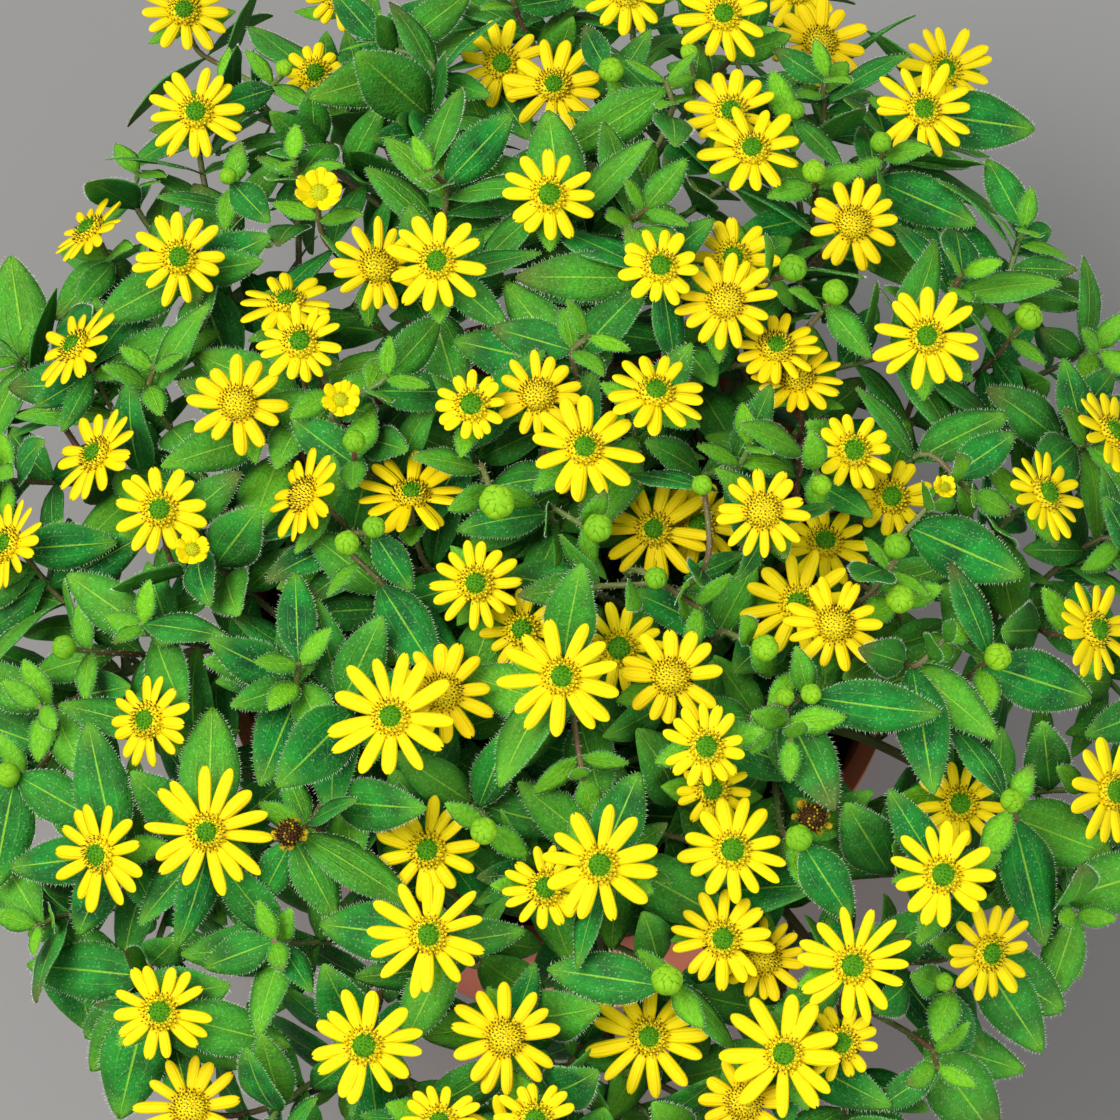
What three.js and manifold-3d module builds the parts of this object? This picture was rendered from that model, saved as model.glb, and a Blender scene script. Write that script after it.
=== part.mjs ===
// Potted creeping zinnia: a clay-coloured nursery pot, the soil in it, and the leafy stems that stand in
// the soil and spill over the rim, each fused with its leaves, buds and yellow blooms. Millimetres, +Z up,
// with the origin at the middle of the pot's foot. The picture of the plant looks along +Y.

import * as THREE from 'three';
import { mergeVertices } from 'three/addons/utils/BufferGeometryUtils.js';
import Module from 'manifold-3d';

const wasm = await Module();
wasm.setup();
const { Manifold } = wasm;
const radians = THREE.MathUtils.degToRad;

// Driving sizes
const pot = {
  rim: 65, height: 100, band: 16, bandStep: 1.8, bandOut: 4.3, bandWall: 3.2, lip: 2, foot: 45, wall: 2,
  footRing: 4, recess: 3, pad: 12, floor: 6, facets: 26, drains: 6, drain: 4, drainSides: 8, drainRing: 30,
};
const soil = { gap: 0.3, shoulder: 87, crown: 4, edge: 1, dip: 2.5 };
const hole = { radius: 3.3, depth: 14, sides: 4, above: 12 };
const crown = { top: 172, fall: 35, across: 103, deep: 121, brink: 1.02, drop: 110, lowest: 92 };
const bloom = {
  petals: 6, halfWidth: 2.7, share: 0.92, widest: 0.66, rise: 0.06, eye: 2.9, seeds: 2.4, brow: 1.5,
  notch: 0.25, relief: 0.6, dome: 2.6, cup: 2.6, cupWidth: 1.7, thick: 1.1,
};
const opening = { petals: 6, halfWidth: 1.1, rise: 1.5, eye: 0.5, seeds: 0.35, cup: 0.9 };
const bud = { sides: 5, belly: -0.2, brow: 0.55, browWidth: 0.78, peak: 0.95, cup: 0.85 };
const leaf = { keel: 0.95, seat: 2.6, sections: [0.36, 0.74] };
const stem = { main: 1.9, side: 0.95, sides: 3, apart: 4.4, upright: 9, sink: 11 };

// Gaps that are kept: between leaves, from leaves to petals and stems, and between whole sprays
const clear = { leaves: 1.05, petals: 1.95, stems: 0.8, sprays: 0.28, fine: 0.1, skin: 0.0001 };

// Viewpoint of the picture, whose places are given in its points, across and down
const picture = {
  middle: 560, pointsPerMm: 5.6, pitch: radians(66), distance: 900, aim: new THREE.Vector3(0, -14, 160),
  left: 150, right: 970, top: -25, bottom: 1145,
};

// Open blooms in the picture: where they stand, how wide they look, how far they turn up and to the right
// in degrees, how many millimetres they sit below the crown, and their age from newly open to spent
const blooms = [
  { across: 184, down: 11, wide: 104, up: 15 }, { across: 263, down: 19, wide: 105, up: 20 },
  { across: 196, down: 113, wide: 108, up: 12 }, { across: 315, down: 74, wide: 70, sunk: 13 },
  { across: 338, down: -5, wide: 80, sunk: 13 }, { across: 502, down: 64, wide: 95, sunk: 12 },
  { across: 554, down: 86, wide: 110, up: 15, age: 1.5 },
  { across: 549, down: 195, wide: 98, up: 5, age: 0.7 }, { across: 437, down: 262, wide: 105, up: 8 },
  { across: 378, down: 267, wide: 100, sunk: 7, age: 2 }, { across: 179, down: 258, wide: 100, up: 8 },
  { across: 287, down: 303, wide: 100, up: 50, sunk: 6 }, { across: 300, down: 343, wide: 88, up: 20 },
  { across: 238, down: 404, wide: 100, age: 2 },
  { across: 471, down: 406, wide: 75, up: 15, sunk: 3, age: 0.6 },
  { across: 538, down: 396, wide: 92, up: 15, sunk: 4, age: 2 }, { across: 626, down: -8, wide: 95 },
  { across: 723, down: 15, wide: 108, up: 12 }, { across: 797, down: -10, wide: 95 },
  { across: 820, down: 43, wide: 105, sunk: 7, age: 2 },
  { across: 731, down: 112, wide: 100, up: 15, sunk: 7 }, { across: 752, down: 150, wide: 110, up: 25 },
  { across: 923, down: 110, wide: 110, up: 10 }, { across: 945, down: 70, wide: 110, sunk: 4 },
  { across: 660, down: 267, wide: 84, up: 15, age: 0.8 }, { across: 726, down: 302, wide: 104, age: 1.8 },
  { across: 733, down: 258, wide: 95, sunk: 11 }, { across: 853, down: 224, wide: 98, sunk: 7, age: 2 },
  { across: 927, down: 337, wide: 114, up: 8 },
  { across: 776, down: 348, wide: 88, up: 30, sunk: 1.5, age: 1.6 },
  { across: 797, down: 378, wide: 92, up: 35, sunk: 6, age: 2 },
  { across: 656, down: 393, wide: 105, up: 35 },
  { across: 304, down: 495, wide: 98, up: 20, right: -45, sunk: 3, age: 2 },
  { across: 411, down: 495, wide: 113, up: 42, age: 1.7 }, { across: 160, down: 510, wide: 95, sunk: 3 },
  { across: 476, down: 584, wide: 90, sunk: 11 }, { across: 391, down: 717, wide: 127, up: 10 },
  { across: 443, down: 693, wide: 105, up: 10, sunk: 7, age: 2 },
  { across: 561, down: 677, wide: 120, up: 8 }, { across: 522, down: 630, wide: 80, sunk: 11 },
  { across: 584, down: 448, wide: 116, up: 15 }, { across: 654, down: 530, wide: 118, up: 12, age: 1.3 },
  { across: 698, down: 525, wide: 92, sunk: 8 }, { across: 763, down: 511, wide: 92, up: 5, age: 1.9 },
  { across: 853, down: 451, wide: 84, up: 10, right: 10, age: 0.8 },
  { across: 891, down: 497, wide: 85, sunk: 11 }, { across: 825, down: 543, wide: 95, up: 30, sunk: 10 },
  { across: 798, down: 604, wide: 112, age: 0.9 },
  { across: 835, down: 625, wide: 98, up: 10, sunk: 5, age: 1.8 },
  { across: 619, down: 649, wide: 95, sunk: 8, age: 0.5 },
  { across: 671, down: 677, wide: 100, sunk: 7, age: 1.8 },
  { across: 706, down: 747, wide: 84, up: 5, age: 0.8 },
  { across: 599, down: 865, wide: 114, up: 5, age: 0.8 }, { across: 732, down: 850, wide: 106, age: 0.6 },
  { across: 713, down: 790, wide: 75, sunk: 8 }, { across: 722, down: 939, wide: 104, right: 10 },
  { across: 762, down: 958, wide: 90, up: 15, sunk: 8, age: 1.8 },
  { across: 853, down: 966, wide: 115, age: 0.8 }, { across: 841, down: 1043, wide: 78, sunk: 8 },
  { across: 943, down: 875, wide: 108, age: 0.7 }, { across: 960, down: 804, wide: 90 },
  { across: 649, down: 1037, wide: 122, age: 1.2 }, { across: 784, down: 1054, wide: 122, age: 0.8 },
  { across: 744, down: 1102, wide: 90, sunk: 10, age: 2 }, { across: 535, down: 1120, wide: 80 },
  { across: 207, down: 832, wide: 128, up: 5, age: 1.3 },
  { across: 428, down: 850, wide: 102, up: 5, right: -8 }, { across: 428, down: 935, wide: 120, up: 5 },
  { across: 364, down: 1046, wide: 110, age: 0.7 }, { across: 505, down: 1038, wide: 110, age: 2 },
  { across: 160, down: 1012, wide: 100 }, { across: 190, down: 1108, wide: 108, sunk: 4, age: 2 },
  { across: 440, down: 1123, wide: 80 }, { across: 546, down: 888, wide: 85, sunk: 8 },
];

// Heads that are only opening, and withered ones with their rays shrunk upright
const cups = [
  { across: 319, down: 193, wide: 46, age: 0 }, { across: 340, down: 400, wide: 36, age: 0 },
  { across: 192, down: 550, wide: 34, age: 0 }, { across: 944, down: 488, wide: 24, age: 0 },
  { across: 290, down: 834, wide: 34, age: 3 }, { across: 812, down: 818, wide: 38, age: 3 },
];

// Closed round buds
const buds = [
  { across: 228, down: 176, wide: 18 }, { across: 284, down: 68, wide: 18 },
  { across: 611, down: 70, wide: 26 }, { across: 689, down: 52, wide: 18 },
  { across: 795, down: 110, wide: 20 }, { across: 814, down: 171, wide: 24 },
  { across: 881, down: 142, wide: 22 }, { across: 793, down: 268, wide: 28 },
  { across: 835, down: 292, wide: 26 }, { across: 354, down: 441, wide: 22 },
  { across: 347, down: 543, wide: 24 }, { across: 374, down: 527, wide: 22 },
  { across: 497, down: 502, wide: 34 }, { across: 598, down: 528, wide: 28 },
  { across: 656, down: 578, wide: 22 }, { across: 702, down: 485, wide: 20 },
  { across: 821, down: 485, wide: 20 }, { across: 897, down: 546, wide: 26 },
  { across: 900, down: 599, wide: 28 }, { across: 765, down: 648, wide: 26 },
  { across: 785, down: 697, wide: 18 }, { across: 811, down: 694, wide: 20 },
  { across: 484, down: 831, wide: 26 }, { across: 667, down: 980, wide: 30 },
  { across: 799, down: 838, wide: 26 }, { across: 944, down: 982, wide: 18 },
];

// Openings in the foliage through which the pot and the soil show in the picture
const windows = [
  { across: 900, down: 757, wide: 104, tall: 52 }, { across: 905, down: 1035, wide: 70, tall: 60 },
];

// Rings of main stems, from the middle outward: how many, where they stand in the soil, and how far they
// reach out and up
const rings = [
  { within: 38, count: 4, foot: 8, knee: 11, kneeHeight: 118, reach: 20, height: 140 },
  { within: 76, count: 9, foot: 22, knee: 32, kneeHeight: 112, reach: 54, height: 132 },
  { within: 999, count: 13, foot: 40, knee: 60, kneeHeight: 116, reach: 92, height: 112 },
];

// Seeded draw between two values
let seed = 20817;
function draw(low, high) {
  seed = (seed * 16807) % 2147483647;
  return low + ((high - low) * seed) / 2147483647;
}

const up = new THREE.Vector3(0, 0, 1);
const ahead = new THREE.Vector3(0, Math.cos(picture.pitch), -Math.sin(picture.pitch));
const pictureUp = new THREE.Vector3(0, Math.sin(picture.pitch), Math.cos(picture.pitch));
const eyePoint = picture.aim.clone().addScaledVector(ahead, -picture.distance);

// How far out a place lies on the plant, from 0 in the middle to 1 at its brink
function reachOf(x, y) {
  return Math.hypot(x / crown.across, y / crown.deep);
}

function crownHeight(x, y) {
  const reach = reachOf(x, y);
  const past = Math.max(0, reach - crown.brink);
  return crown.top - crown.fall * reach * reach - crown.drop * past;
}

// Place on the plant that shows at a point of the picture, at a depth below the crown
function fromPicture(across, down, sunk) {
  const ray = ahead.clone().multiplyScalar(picture.distance);
  ray.x += (across - picture.middle) / picture.pointsPerMm;
  ray.addScaledVector(pictureUp, (picture.middle - down) / picture.pointsPerMm);
  const spot = new THREE.Vector3();
  let height = crown.top;
  for (let turn = 0; turn < 14; turn++) {
    spot.copy(eyePoint).addScaledVector(ray, (height - eyePoint.z) / ray.z);
    height = Math.max(crown.lowest, crownHeight(spot.x, spot.y) - sunk);
  }
  return spot;
}

// Point of the picture at which a place shows
function toPicture(spot) {
  const from = spot.clone().sub(eyePoint);
  const scale = (picture.distance / from.dot(ahead)) * picture.pointsPerMm;
  return { across: picture.middle + from.x * scale, down: picture.middle - from.dot(pictureUp) * scale };
}

function outward(spot) {
  return new THREE.Vector3(spot.x, spot.y, 0).normalize();
}

// Blooms, cups and buds, each with its place, the way it faces, its radius and how wide it is open
const tips = [];

function headFacing(right, turn) {
  const side = radians(right);
  const lift = radians(turn);
  const facing = ahead.clone().multiplyScalar(-Math.cos(side) * Math.cos(lift));
  facing.x += Math.sin(side) * Math.cos(lift);
  return facing.addScaledVector(pictureUp, Math.sin(lift)).normalize();
}

for (const { across, down, wide } of buds) {
  const facing = headFacing(draw(-18, 18), draw(0, 35));
  tips.push({ kind: 'bud', across, down, sunk: 3, facing, radius: wide / picture.pointsPerMm / 2, age: 0 });
}
for (const { across, down, wide, age } of cups) {
  const facing = headFacing(draw(-12, 12), draw(5, 25));
  tips.push({ kind: 'cup', across, down, sunk: 3, facing, radius: wide / picture.pointsPerMm / 2, age });
}
for (const { across, down, wide, up: turn = 8, right = 0, sunk = 0, age = 1 } of blooms) {
  const facing = headFacing(right + draw(-6, 6), turn);
  tips.push({ kind: 'bloom', across, down, sunk, facing, radius: wide / picture.pointsPerMm / 2, age });
}

// Heads round the sides that the picture does not reach, on a spiral over the mound
const spiral = { count: 84, turn: radians(137.508), edge: 1.06, inner: 0.55, lean: 0.9 };
for (let i = 0; i < spiral.count; i++) {
  const reach = spiral.edge * Math.sqrt((i + 0.5) / spiral.count);
  const x = crown.across * reach * Math.cos(i * spiral.turn);
  const y = crown.deep * reach * Math.sin(i * spiral.turn);
  const spot = new THREE.Vector3(x, y, crownHeight(x, y));
  const seen = toPicture(spot);
  const wide = draw(17, 21);
  const sunk = draw(0, 5);
  const chance = draw(0, 1);
  const isSeen = seen.across > picture.left && seen.across < picture.right
    && seen.down > picture.top && seen.down < picture.bottom;
  if (isSeen || reach < spiral.inner) continue;
  const facing = up.clone().addScaledVector(outward(spot), reach * spiral.lean).normalize();
  const kind = chance < 0.5 ? 'bloom' : 'bud';
  const radius = kind === 'bloom' ? wide / 2 : wide / 8;
  tips.push({ kind, ...seen, sunk, facing, radius, age: 0.5 + chance * 2 });
}

// Each head sits deep enough to clear those before it, along its own line of sight
const room = {
  tries: 22, step: 1.1, aroundBud: 2.4, betweenBlooms: 3.1, besideBud: 0.4, overlap: -0.6, tilt: 0.6,
};

function sinkClear(tip, earlier) {
  for (let attempt = 0; attempt < room.tries; attempt++) {
    tip.spot = fromPicture(tip.across, tip.down, tip.sunk);
    const blocked = earlier.some((other) => {
      const away = tip.spot.clone().sub(other.spot);
      const depth = away.dot(other.facing);
      const lateral = away.clone().addScaledVector(other.facing, -depth).length();
      const tilt = Math.sqrt(Math.max(0, 1 - tip.facing.dot(other.facing) ** 2));
      const hasBud = tip.kind === 'bud' || other.kind === 'bud';
      const thick = hasBud ? tip.radius + room.aroundBud : room.betweenBlooms;
      const reach = hasBud ? room.besideBud : room.overlap;
      return lateral < tip.radius + other.radius + reach && depth > -(thick + tip.radius * tilt * room.tilt)
        && depth < thick + other.radius * tilt * room.tilt;
    });
    if (!blocked) return true;
    tip.sunk += room.step;
  }
  return false;
}

const heads = [];
const order = tips.map((tip, index) => ({ tip, rank: tip.sunk + (tip.kind === 'bloom' ? 0 : -9), index }));
order.sort((a, b) => a.rank - b.rank || a.index - b.index);
for (const { tip } of order) {
  if (sinkClear(tip, heads)) heads.push(tip);
}

// Leafy shoots without a head fill the spaces between, on a finer spiral
const shoots = {
  count: 200, edge: 1.12, apart: 24, headGap: 4.5, layer: 16, turn: 1, lean: 0.8, radius: 1.2,
};
for (let i = 0; i < shoots.count; i++) {
  const reach = shoots.edge * Math.sqrt((i + 0.5) / shoots.count);
  const x = crown.across * reach * Math.cos(i * spiral.turn + shoots.turn);
  const y = crown.deep * reach * Math.sin(i * spiral.turn + shoots.turn);
  const spot = new THREE.Vector3(x, y, crownHeight(x, y) - draw(3, 9));
  const facing = up.clone().addScaledVector(outward(spot), reach * shoots.lean);
  facing.x += draw(-0.25, 0.25);
  facing.y += draw(-0.25, 0.25);
  facing.normalize();
  const crowded = heads.some((other) => {
    const away = spot.clone().sub(other.spot);
    const depth = away.dot(other.facing);
    const lateral = away.addScaledVector(other.facing, -depth).length();
    const apart = other.kind === 'shoot' ? shoots.apart : other.radius + shoots.headGap;
    return lateral < apart && Math.abs(depth) < shoots.layer;
  });
  if (!crowded) heads.push({ kind: 'shoot', spot, facing, radius: shoots.radius });
}

// Place and direction on a stem, which is a row of bends, at a distance back from its tip
function alongStem(bends, back) {
  let rest = back;
  for (let i = bends.length - 1; i > 0; i--) {
    const axis = bends[i].clone().sub(bends[i - 1]);
    const length = axis.length();
    axis.normalize();
    if (rest <= length || i === 1) return { spot: bends[i].clone().addScaledVector(axis, -rest), axis };
    rest -= length;
  }
}

function stemLength(bends) {
  return bends.slice(1).reduce((sum, bend, i) => sum + bend.distanceTo(bends[i]), 0);
}

// Points along every stem so far, for keeping other things off them
const stemPoints = [];

function markStem(stalk, every) {
  const length = stemLength(stalk.bends);
  for (let back = 0; back <= length; back += every) {
    stemPoints.push({ spot: alongStem(stalk.bends, back).spot, stalk });
  }
}

// Leaf pairs: one on each side stem and one at the end of each main stem. They stand at a distance below
// the head, and lift at an angle from the stem
const leafSizes = {
  bloom: { at: 11, length: 22, lift: 32 },
  cup: { at: 8, length: 19, lift: 34 },
  bud: { at: 7, length: 17, lift: 38 },
  shoot: { at: 4, length: 20, lift: 40 },
  main: { at: 4, length: 25, lift: 22 },
};

// Main stems: upright in the soil, bent at the knee, and then out towards the brink
const ringTwist = 0.35;
const arch = 4;
const sprays = [];
for (const [ringIndex, ring] of rings.entries()) {
  for (let i = 0; i < ring.count; i++) {
    const turn = ((i + 0.5) / ring.count) * 2 * Math.PI + ringIndex * ringTwist;
    const away = new THREE.Vector3(Math.cos(turn), Math.sin(turn), 0);
    const stretch = 1 / Math.hypot(away.x, away.y * (crown.across / crown.deep));
    const foot = away.clone().multiplyScalar(ring.foot);
    const sway = new THREE.Vector3(-away.y, away.x, 0).multiplyScalar(draw(-2.5, 2.5));
    const knee = away.clone().multiplyScalar(ring.knee).add(sway).setZ(ring.kneeHeight);
    const end = away.clone().multiplyScalar(ring.reach * stretch).setZ(ring.height);
    const middle = knee.clone().lerp(end, 0.5).setZ((knee.z + end.z) / 2 + arch);
    const low = foot.clone().setZ(soil.shoulder - stem.sink);
    const bends = [low, foot.clone().setZ(soil.shoulder + stem.upright), knee, middle, end];
    const stalk = { bends, node: leafSizes.main.at, radius: stem.main, leaves: [] };
    sprays.push({ ring: ringIndex, turn, foot, stalk, starts: [] });
    markStem(stalk, 1.6);
  }
}

function sprayOf(spot) {
  const radius = Math.hypot(spot.x, spot.y * (crown.across / crown.deep));
  const ringIndex = rings.findIndex((ring) => radius < ring.within);
  const { count } = rings[ringIndex];
  const turn = Math.atan2(spot.y, spot.x) - ringIndex * ringTwist + 4 * Math.PI;
  const place = Math.floor((turn / (2 * Math.PI)) * count) % count;
  return sprays.filter((spray) => spray.ring === ringIndex)[place];
}

function insideHead(spot, head, margin) {
  const away = spot.clone().sub(head.spot);
  const depth = away.dot(head.facing);
  const lateral = away.addScaledVector(head.facing, -depth).length();
  if (head.kind === 'shoot') return false;
  if (head.kind !== 'bloom') return Math.hypot(depth, lateral) < head.radius + margin;
  const inPetals = Math.abs(depth) < bloom.thick + margin && lateral < head.radius + margin * 0.6;
  const inCup = depth < 0 && depth > -bloom.cup - margin && lateral < bloom.cupWidth + margin;
  return inPetals || inCup;
}

// Where a side stem leaves its main stem: the nearest place to the head's own foot, clear of other starts
const leaving = { first: 2, bare: 24, step: 1.5, taken: 12 };

function startOf(lowered, spray) {
  let best = null;
  let nearest = Infinity;
  const length = stemLength(spray.stalk.bends);
  for (let back = leaving.first; back < length - leaving.bare; back += leaving.step) {
    const { spot, axis } = alongStem(spray.stalk.bends, back);
    const taken = spray.starts.filter((other) => other.distanceTo(spot) < stem.apart).length;
    const gap = spot.distanceTo(lowered) + taken * leaving.taken;
    if (gap < nearest) {
      nearest = gap;
      best = { spot, axis };
    }
  }
  return best;
}

// A side stem from its main stem up to a head, with a bend where its leaves stand, and bowed aside where
// the straight way is taken
const branch = { below: 26, inward: 0.22, lower: 6, leave: 0.28, arrive: 0.45, latest: 0.75, step: 1.5 };
const detour = { ways: 33, bow: 3.2, around: 8, gap: 0.4, head: 3.5, overRim: 2, insideRim: 5, rimCost: 3 };

function branchTo(head, spray) {
  const rising = head.facing.clone().multiplyScalar(0.6).addScaledVector(up, 0.4).normalize();
  const lowered = head.spot.clone().addScaledVector(rising, -branch.below);
  lowered.lerp(spray.foot.clone().setZ(lowered.z - branch.lower), branch.inward);
  const { spot: from, axis: along } = startOf(lowered, spray);
  spray.starts.push(from);
  const below = { bloom: bloom.cup, cup: head.radius * opening.cup, bud: head.radius * bud.cup, shoot: 0 };
  const end = head.spot.clone().addScaledVector(head.facing, -below[head.kind]);
  const length = from.distanceTo(end);
  const aside = new THREE.Vector3().crossVectors(along, rising).normalize();
  const across = new THREE.Vector3().crossVectors(rising, aside);
  const first = from.clone().addScaledVector(along, length * branch.leave);
  const second = end.clone().addScaledVector(rising, -length * branch.arrive);
  const curve = new THREE.CubicBezierCurve3(from, first, second, end);
  const node = 1 - Math.min(branch.latest, leafSizes[head.kind].at / length);
  let best = null;
  let fewest = Infinity;
  for (let way = 0; way < detour.ways; way++) {
    const bow = detour.bow * Math.ceil(way / detour.around);
    const turn = (way / detour.around) * 2 * Math.PI;
    const bend = curve.getPoint(node).addScaledVector(aside, bow * Math.cos(turn));
    const bends = [from, bend.addScaledVector(across, bow * Math.sin(turn)), end];
    const whole = stemLength(bends);
    let hits = 0;
    for (let back = branch.step; back < whole - detour.head; back += branch.step) {
      const { spot } = alongStem(bends, back);
      const touches = (other) => other.spot.distanceTo(spot) < stem.side + other.stalk.radius + detour.gap;
      if (heads.some((other) => other !== head && insideHead(spot, other, stem.side))) hits++;
      if (stemPoints.some(touches)) hits++;
      const outer = Math.hypot(spot.x, spot.y);
      const isOnRim = outer < pot.rim + detour.overRim && outer > pot.rim - detour.insideRim;
      if (isOnRim && spot.z < pot.height + detour.overRim) hits += detour.rimCost;
    }
    if (hits < fewest) {
      fewest = hits;
      best = bends;
    }
    if (hits === 0) break;
  }
  return { bends: best, node: best[1].distanceTo(end), radius: stem.side, leaves: [] };
}

const byDepth = [...heads].sort((a, b) => a.spot.z - b.spot.z);
for (const head of byDepth) {
  head.spray = sprayOf(head.spot);
  head.stalk = branchTo(head, head.spray);
  markStem(head.stalk, branch.step);
}

// A leaf: where it starts, the way it runs, the way its face looks, its length and half width, and how far
// it arches over
const leaves = [];

function leafPoint(blade, t, c) {
  const { root, run, face, side, length, droop } = blade;
  const bend = droop * t;
  const forward = (length * Math.sin(bend)) / droop;
  const down = (length * (1 - Math.cos(bend))) / droop;
  return root.clone().addScaledVector(run, forward).addScaledVector(face, -down)
    .addScaledVector(side, c * leafHalfWidth(blade, t));
}

function leafHalfWidth(blade, t) {
  return blade.halfWidth * Math.max(0, Math.sin(Math.PI * Math.min(1, t) ** 0.85)) ** 0.9;
}

// Height of a place over a blade's own surface, or null beside the blade
function overLeaf(blade, spot, margin) {
  const away = spot.clone().sub(blade.root);
  const t = away.dot(blade.run) / (blade.length * (1 - blade.droop * blade.droop / 8));
  const across = away.dot(blade.side);
  const isBeside = Math.abs(across) > leafHalfWidth(blade, t) + margin;
  if (t < 0.04 || t > 1 + margin / blade.length || isBeside) return null;
  const bend = blade.droop * Math.min(1, t);
  return away.dot(blade.face) + (blade.length * (1 - Math.cos(bend))) / blade.droop;
}

// Places on a leaf, along and across it, at which it is tried against everything else
const probes = [];
for (const t of [0.14, 0.38, 0.62, 0.85]) {
  for (const c of [-0.95, 0, 0.95]) probes.push([t, c]);
}
probes.push([1, 0]);

const near = { mates: 3, edge: 0.5, rim: 3, bud: 0.9, petals: 0.6, cup: 1, cupWidth: 3.2, ownStem: 3.2 };
const hideLimit = 0.62;

function crossesLeaf(blade, other, areMates) {
  let above = 0;
  let below = 0;
  for (const [one, two] of [[blade, other], [other, blade]]) {
    above = 0;
    below = 0;
    for (const spot of one.probes) {
      const over = overLeaf(two, spot, near.edge);
      if (over === null) continue;
      if (areMates && spot.distanceTo(two.root) < near.mates) continue;
      if (Math.abs(over) < clear.leaves) return true;
      if (over > 0) above++;
      else below++;
    }
    if (above && below) return true;
  }
  return false;
}

// Whether a leaf would touch a head, or hide the face of a bloom in the picture
function leafMeetsHead(blade, head) {
  if (head.spot.distanceTo(blade.root) > blade.length + head.radius + 4) return false;
  if (head.kind !== 'bloom') {
    return blade.probes.some((spot) => spot.distanceTo(head.spot) < head.radius + near.bud);
  }
  let above = 0;
  let below = 0;
  for (const spot of blade.probes) {
    const away = spot.clone().sub(head.spot);
    const depth = away.dot(head.facing);
    const lateral = away.clone().addScaledVector(head.facing, -depth).length();
    if (lateral < head.radius + near.petals) {
      if (Math.abs(depth) < clear.petals) return true;
      if (depth > 0) above++;
      else below++;
    }
    if (depth < 0 && depth > -bloom.cup - near.cup && lateral < near.cupWidth) return true;
    const toward = away.dot(ahead);
    const beside = away.clone().addScaledVector(ahead, -toward).length();
    if (toward < -1 && beside < head.radius * hideLimit) return true;
  }
  return above > 0 && below > 0;
}

function leafBlocked(blade) {
  for (const spot of blade.probes) {
    const radius = Math.hypot(spot.x, spot.y);
    if (radius < pot.rim + near.rim && spot.z < pot.height + near.rim) return true;
    for (const { across, down, wide, tall } of windows) {
      const seen = toPicture(spot);
      if (Math.abs(seen.across - across) < wide / 2 && Math.abs(seen.down - down) < tall / 2) return true;
    }
  }
  if (heads.some((head) => head.kind !== 'shoot' && leafMeetsHead(blade, head))) return true;
  for (const { spot, stalk } of stemPoints) {
    if (spot.distanceTo(blade.root) > blade.length + stem.main) continue;
    if (stalk === blade.stalk && spot.distanceTo(blade.root) < near.ownStem) continue;
    const over = overLeaf(blade, spot, stalk.radius);
    if (over !== null && Math.abs(over) < stalk.radius + clear.stems) return true;
  }
  for (const other of leaves) {
    if (other.root.distanceTo(blade.root) > other.length + blade.length) continue;
    if (crossesLeaf(blade, other, other.stalk === blade.stalk)) return true;
  }
  return false;
}

// Degrees by which a leaf is turned about its stem, and lifted, to find a clear place
const nudges = [0, 15, -15, 30, -30, 45, -45, 60, -60];
const rises = [0, 16, -16];

// Grows one leaf from a stem, or leaves it out where no place is clear
function growLeaf(stalk, turn, size) {
  const { spot: root, axis } = alongStem(stalk.bends, stalk.node + leaf.seat / 2);
  const first = new THREE.Vector3().crossVectors(axis, new THREE.Vector3(1, 0.2, 0)).normalize();
  const second = new THREE.Vector3().crossVectors(axis, first);
  const length = size.length * draw(0.88, 1.12);
  const halfWidth = length * draw(0.17, 0.21);
  const lift = radians(draw(size.lift - 12, size.lift + 12));
  const droop = radians(draw(22, 52));
  for (const nudge of nudges) {
    for (const rise of rises) {
      const angle = turn + radians(nudge);
      const away = first.clone().multiplyScalar(Math.cos(angle)).addScaledVector(second, Math.sin(angle));
      const tilt = lift + radians(rise);
      const run = away.multiplyScalar(Math.cos(tilt)).addScaledVector(axis, Math.sin(tilt)).normalize();
      const face = axis.clone().addScaledVector(up, 0.7).addScaledVector(outward(root), 0.25);
      face.addScaledVector(run, -face.dot(run)).normalize();
      const side = new THREE.Vector3().crossVectors(face, run);
      const blade = { root, axis, run, face, side, length, halfWidth, droop, stalk };
      blade.probes = probes.map(([t, c]) => leafPoint(blade, t, c));
      if (!leafBlocked(blade)) {
        leaves.push(blade);
        stalk.leaves.push(blade);
        return;
      }
    }
  }
}

for (const head of heads) {
  const turn = radians(draw(0, 180));
  growLeaf(head.stalk, turn, leafSizes[head.kind]);
  if (head.kind !== 'bud') growLeaf(head.stalk, turn + Math.PI, leafSizes[head.kind]);
}
for (const spray of sprays) {
  growLeaf(spray.stalk, spray.turn + 0.8, leafSizes.main);
  growLeaf(spray.stalk, spray.turn + 0.8 + Math.PI, leafSizes.main);
}

// Solid from a list of points and triangles
function solidOf(points, triangles) {
  const vertProperties = new Float32Array(points.flatMap((point) => point.toArray()));
  const triVerts = new Uint32Array(triangles.flat());
  return new Manifold(new wasm.Mesh({ numProp: 3, vertProperties, triVerts }));
}

function solidFrom(geometry) {
  const bare = geometry.clone();
  bare.deleteAttribute('normal');
  bare.deleteAttribute('uv');
  const merged = mergeVertices(bare, 1e-4);
  const vertProperties = new Float32Array(merged.attributes.position.array);
  const triVerts = new Uint32Array(merged.index.array);
  return new Manifold(new wasm.Mesh({ numProp: 3, vertProperties, triVerts }));
}

function geometryFrom(solid) {
  const { vertProperties, triVerts } = solid.getMesh();
  const geometry = new THREE.BufferGeometry();
  geometry.setAttribute('position', new THREE.BufferAttribute(vertProperties, 3));
  geometry.setIndex(new THREE.BufferAttribute(triVerts, 1));
  return geometry;
}

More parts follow.
